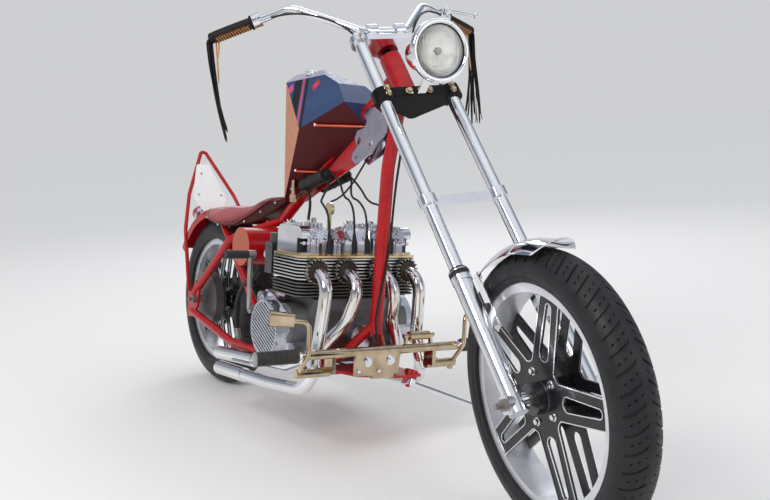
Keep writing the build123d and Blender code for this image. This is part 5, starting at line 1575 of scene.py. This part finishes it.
# %% Plate in the hoop
PLATE = np.array(((-41, 806), (10, 806), (54, 679), (36, 647), (-44, 618), (-84, 679)), float)
PLATE_SCREWS = ((-58, 690), (34, 690), (-30, 770))
PLATE_FACES = (8.5, 10.7)


def hoop_x(z):
    """How far back the hoop's plane lies at a height: it leans 110 in a rise of 182."""
    return -190 - (z - 690) * 110 / 182


def rounded_outline(corners, radius, steps=5):
    """Corners of a polygon replaced by short arcs, as points in order."""
    out = []
    for before, here, after in zip(np.roll(corners, 1, 0), corners, np.roll(corners, -1, 0)):
        t = np.linspace(0, 1, steps)[:, None]
        start, end = here + unit(before - here) * radius, here + unit(after - here) * radius
        out.append((1 - t) ** 2 * start + 2 * t * (1 - t) * here + t**2 * end)
    return np.vstack(out)


outline = rounded_outline(PLATE, 9.0)
rings = np.stack([np.insert(outline, 0, hoop_x(outline[:, 1]) + face, axis=1) for face in PLATE_FACES])
make_piece("blank_plate", [closed_rings(rings)], "frame", white_plate)
plate_screws = [((hoop_x(z) + PLATE_FACES[1], y, z), (1, 0, 0.6)) for y, z in PLATE_SCREWS]
make_piece("plate_screws", bolts(plate_screws, dome_head(9, 2.6)), "frame", steel)

# %% [markdown]
# The rubber on the footpegs is moulded with deep ribs round it and closed by a metal
# cap. One lathed profile makes the ribs, and a second the cap.

# %% Ribbed footpegs
PEG_IN = np.array((1053.0, -276.0, 304.0))
PEG_OUT = np.array((1030.0, -396.0, 298.0))
RIB_PITCH = 6.2
peg_rubber = finish(
    "peg_rubber", (0.045, 0.042, 0.038), (0.030, 0.028, 0.026), 0.0, (0.34, 0.48), settled=0.12, bump=0.3
)
peg_length = float(np.linalg.norm(PEG_OUT - PEG_IN))
ribs = [(0, 9), (0.5, 18.4), (6, 19.4)]
for at in np.arange(6.0, peg_length - 16, RIB_PITCH):
    ribs += [(at + 0.4, 19.6), (at + 3.4, 19.6), (at + 4.0, 16.8), (at + 5.6, 16.8)]
ribs += [(peg_length - 9, 19.4), (peg_length - 6, 18.2), (peg_length - 5.5, 9)]
CAP_FROM_END = ((6, 14), (5.6, 19.2), (2.5, 19.2), (0.6, 17), (0.2, 8))
peg_cap = [(peg_length - back, r) for back, r in CAP_FROM_END]
peg_collar = [(-10, 8.5), (-9.4, 11.5), (-1, 11.5), (0.6, 8)]
peg_frame = aimed(PEG_IN, PEG_OUT - PEG_IN)
rubber, cap, collar = (
    moved(lathe(profile, sides), peg_frame)
    for profile, sides in ((ribs, 40), (peg_cap, 40), (peg_collar, 24))
)
arm = along_path(np.linspace((1056, -253, 305), PEG_IN, 4), 8.0, 16)
rubbers = make_piece("peg_rubbers", [rubber, mirrored_y(rubber)], "frame", peg_rubber, 30.0)
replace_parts(rubbers, "footpegs")
make_piece("peg_caps", [cap, mirrored_y(cap)], "frame", carb_metal)
arms = [collar, mirrored_y(collar), arm, mirrored_y(arm)]
make_piece("peg_arms", arms, "frame", chrome)

# %% [markdown]
# The lens of the tail light is moulded with rings that spread the light of its bulb.
# Each is a thin lathed ring that stands a little out of the lens.

# %% Ribs of the tail light's lens
LENS_FROM = np.array((-300.0, 0, 612.0))
LENS_TO = np.array((-262.0, 0, 600.0))
lens_ribs = []
for r in (8.0, 15.5, 23.0, 29.0):
    inner = -1.6 + 0.25 * (r / 30) ** 2
    rib = [(0.6, r + 1.7), (-1.5, r + 1.6), (-1.7, r + 0.6), (inner, r - 0.2), (0.6, r - 0.4)]
    lens_ribs.append(moved(turned_ring(rib, 48), aimed(LENS_FROM, LENS_TO - LENS_FROM)))
make_piece("tail_lens_ribs", lens_ribs, "frame", red_lens)

# %% [markdown]
# Cables, leads and hoses are cords, and both their ends go into the machine. Each
# follows a smooth spline whose control points are its route, given on the upright
# frame of the body that carries it: the two handlebar cables turn with the fork, and
# the rest stays on the frame.

# %% Routes of the cables, leads and hoses
elbow = BAR_END - GRIP_DIR * 171.3 + np.array((14, 0, -20))
bar_route = (
    tuple(elbow), tuple(elbow - GRIP_DIR * 48 + (-2, 0, -3)), (-4, -168, 1262), (22, -116, 1196),
    (20, -82, 1140), (2, -58, 1112),
)
throttle_route = (
    (1056, 4, 996), (1000, 4, 944), (943, 2, 873), (892, -2, 817), (834, 2, 763), (740, 14, 716),
    (672, 28, 707),
)
clutch_route = (
    (1056, 24, 905), (1050, 22, 850), (1040, 20, 780), (1031.5, 20, 700), (1033, 15, 610), (1034, 2, 520),
    (1028, -12, 430), (1026, -20, 372), (1054, -17, 312),
)
inner_lead = (
    (766, -34, 796), (800, -22, 780), (812, -12, 726), (858, -16, 718), (896, -22, 676), (899, -22, 618),
)
outer_lead = (
    (766, -34, 790), (796, -54, 760), (800, -84, 712), (846, -104, 706), (892, -106, 676), (899, -106, 618),
)
fuel_route = (
    (588.3, -50, 714), (614, -50, 726), (664, -54, 742), (700, -60, 704), (690, -62, 640), (684, -60, 578),
)
oil_route = (
    (452, -100, 486), (430, -104, 440), (368, -106, 420), (306, -104, 366), (288, -102, 306),
    (300, -100, 240),
)
CORDS = (
    # name, body, CAD node, diameter in mm, length in m, sides of the machine, route
    ("bar_cable", "fork", "bar_cables", 6.0, 0.325, (-1, 1), bar_route),
    ("throttle_cable", "frame", "control_cables", 6.0, 0.496, (-1,), throttle_route),
    ("clutch_cable", "frame", "control_cables", 7.0, 0.602, (-1,), clutch_route),
    ("inner_plug_lead", "frame", "plug_leads", 6.5, 0.243, (-1, 1), inner_lead),
    ("outer_plug_lead", "frame", "plug_leads", 6.5, 0.253, (-1, 1), outer_lead),
    ("fuel_line", "frame", "fuel_hose", 9.0, 0.252, (-1,), fuel_route),
    ("oil_line", "frame", "oil_hose", 17.0, 0.320, (-1,), oil_route),
)
print("cords", sum(len(sides) for _, _, _, _, _, sides, _ in CORDS))

# %% [markdown]
# A spline of order 3 rounds each corner of its route evenly and starts and ends at
# the first and last point. The curve object gets a round bevel for its thickness, so
# its line stays there to be measured.

# %% Cables, leads and hoses
def cord_curve(name, route, diameter):
    """A round cord on a spline of order 3 whose control points are the route, in metres."""
    curve = bpy.data.curves.new(name, "CURVE")
    curve.dimensions = "3D"
    curve.bevel_depth = diameter / 2
    curve.bevel_resolution = 3
    curve.use_fill_caps = True
    spline = curve.splines.new("NURBS")
    spline.points.add(len(route) - 1)
    spline.points.foreach_set("co", np.column_stack((route, np.ones(len(route)))).ravel())
    spline.order_u = 3
    spline.use_endpoint_u = True
    spline.resolution_u = 12
    curve.materials.append(cable_black)
    print(name, "follows", len(route), "points")
    return added(name, curve)


for name, body, node, diameter, length, sides, route in CORDS:
    for side in sides:
        label = name if len(sides) == 1 else name + ("_right" if side < 0 else "_left")
        points = carried(np.array(route, float) * (1, -side, 1), FRAMES[body]) / 1000
        piece = cord_curve(label, points, diameter / 1000)
        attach(piece, body)
        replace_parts(piece, node)
        diameter / 1000

# %% [markdown]
# Each plug lead ends in a moulded rubber cap that leans back a little, with the top of
# the spark plug in its mouth, and the oil line ends in a ribbed collar.

# %% Plug caps and the oil line's collar
PLUG_CAP = [
    (0, 5), (0.4, 8), (6, 8.2), (7, 7.4), (9, 7.4), (10, 8.2), (34, 7.8), (38, 6.6), (46, 5.6), (54, 4.8),
    (58, 3.4),
]
COLLAR = [
    (0, 8), (0.5, 10.5), (8, 10.5), (9, 9.2), (11, 9.2), (12, 10.5), (28, 10.5), (29, 9.2), (37, 9.0),
    (37.4, 6),
]
plug_caps, plugs = [], []
for y in (-106, -22, 22, 106):
    plug_caps.append(moved(lathe(PLUG_CAP, 24), aimed((906, y, 566), (-7, 0, 52))))
    plugs.append(along_path(np.linspace((906, y, 574), (900, y, 558.3), 3), 4.0, 12))
    plugs.append(moved(hex_head(15, 6)[0], aimed((901.2, y, 559.0), (6, 0, 15.7))))
make_piece("plug_caps", plug_caps, "frame", black_rubber)
make_piece("spark_plug_tops", plugs, "frame", steel)
collar = moved(lathe(COLLAR, 28), aimed((300, -100, 250), (10, 0, -36)))
make_piece("oil_line_collar", [collar], "frame", steel)
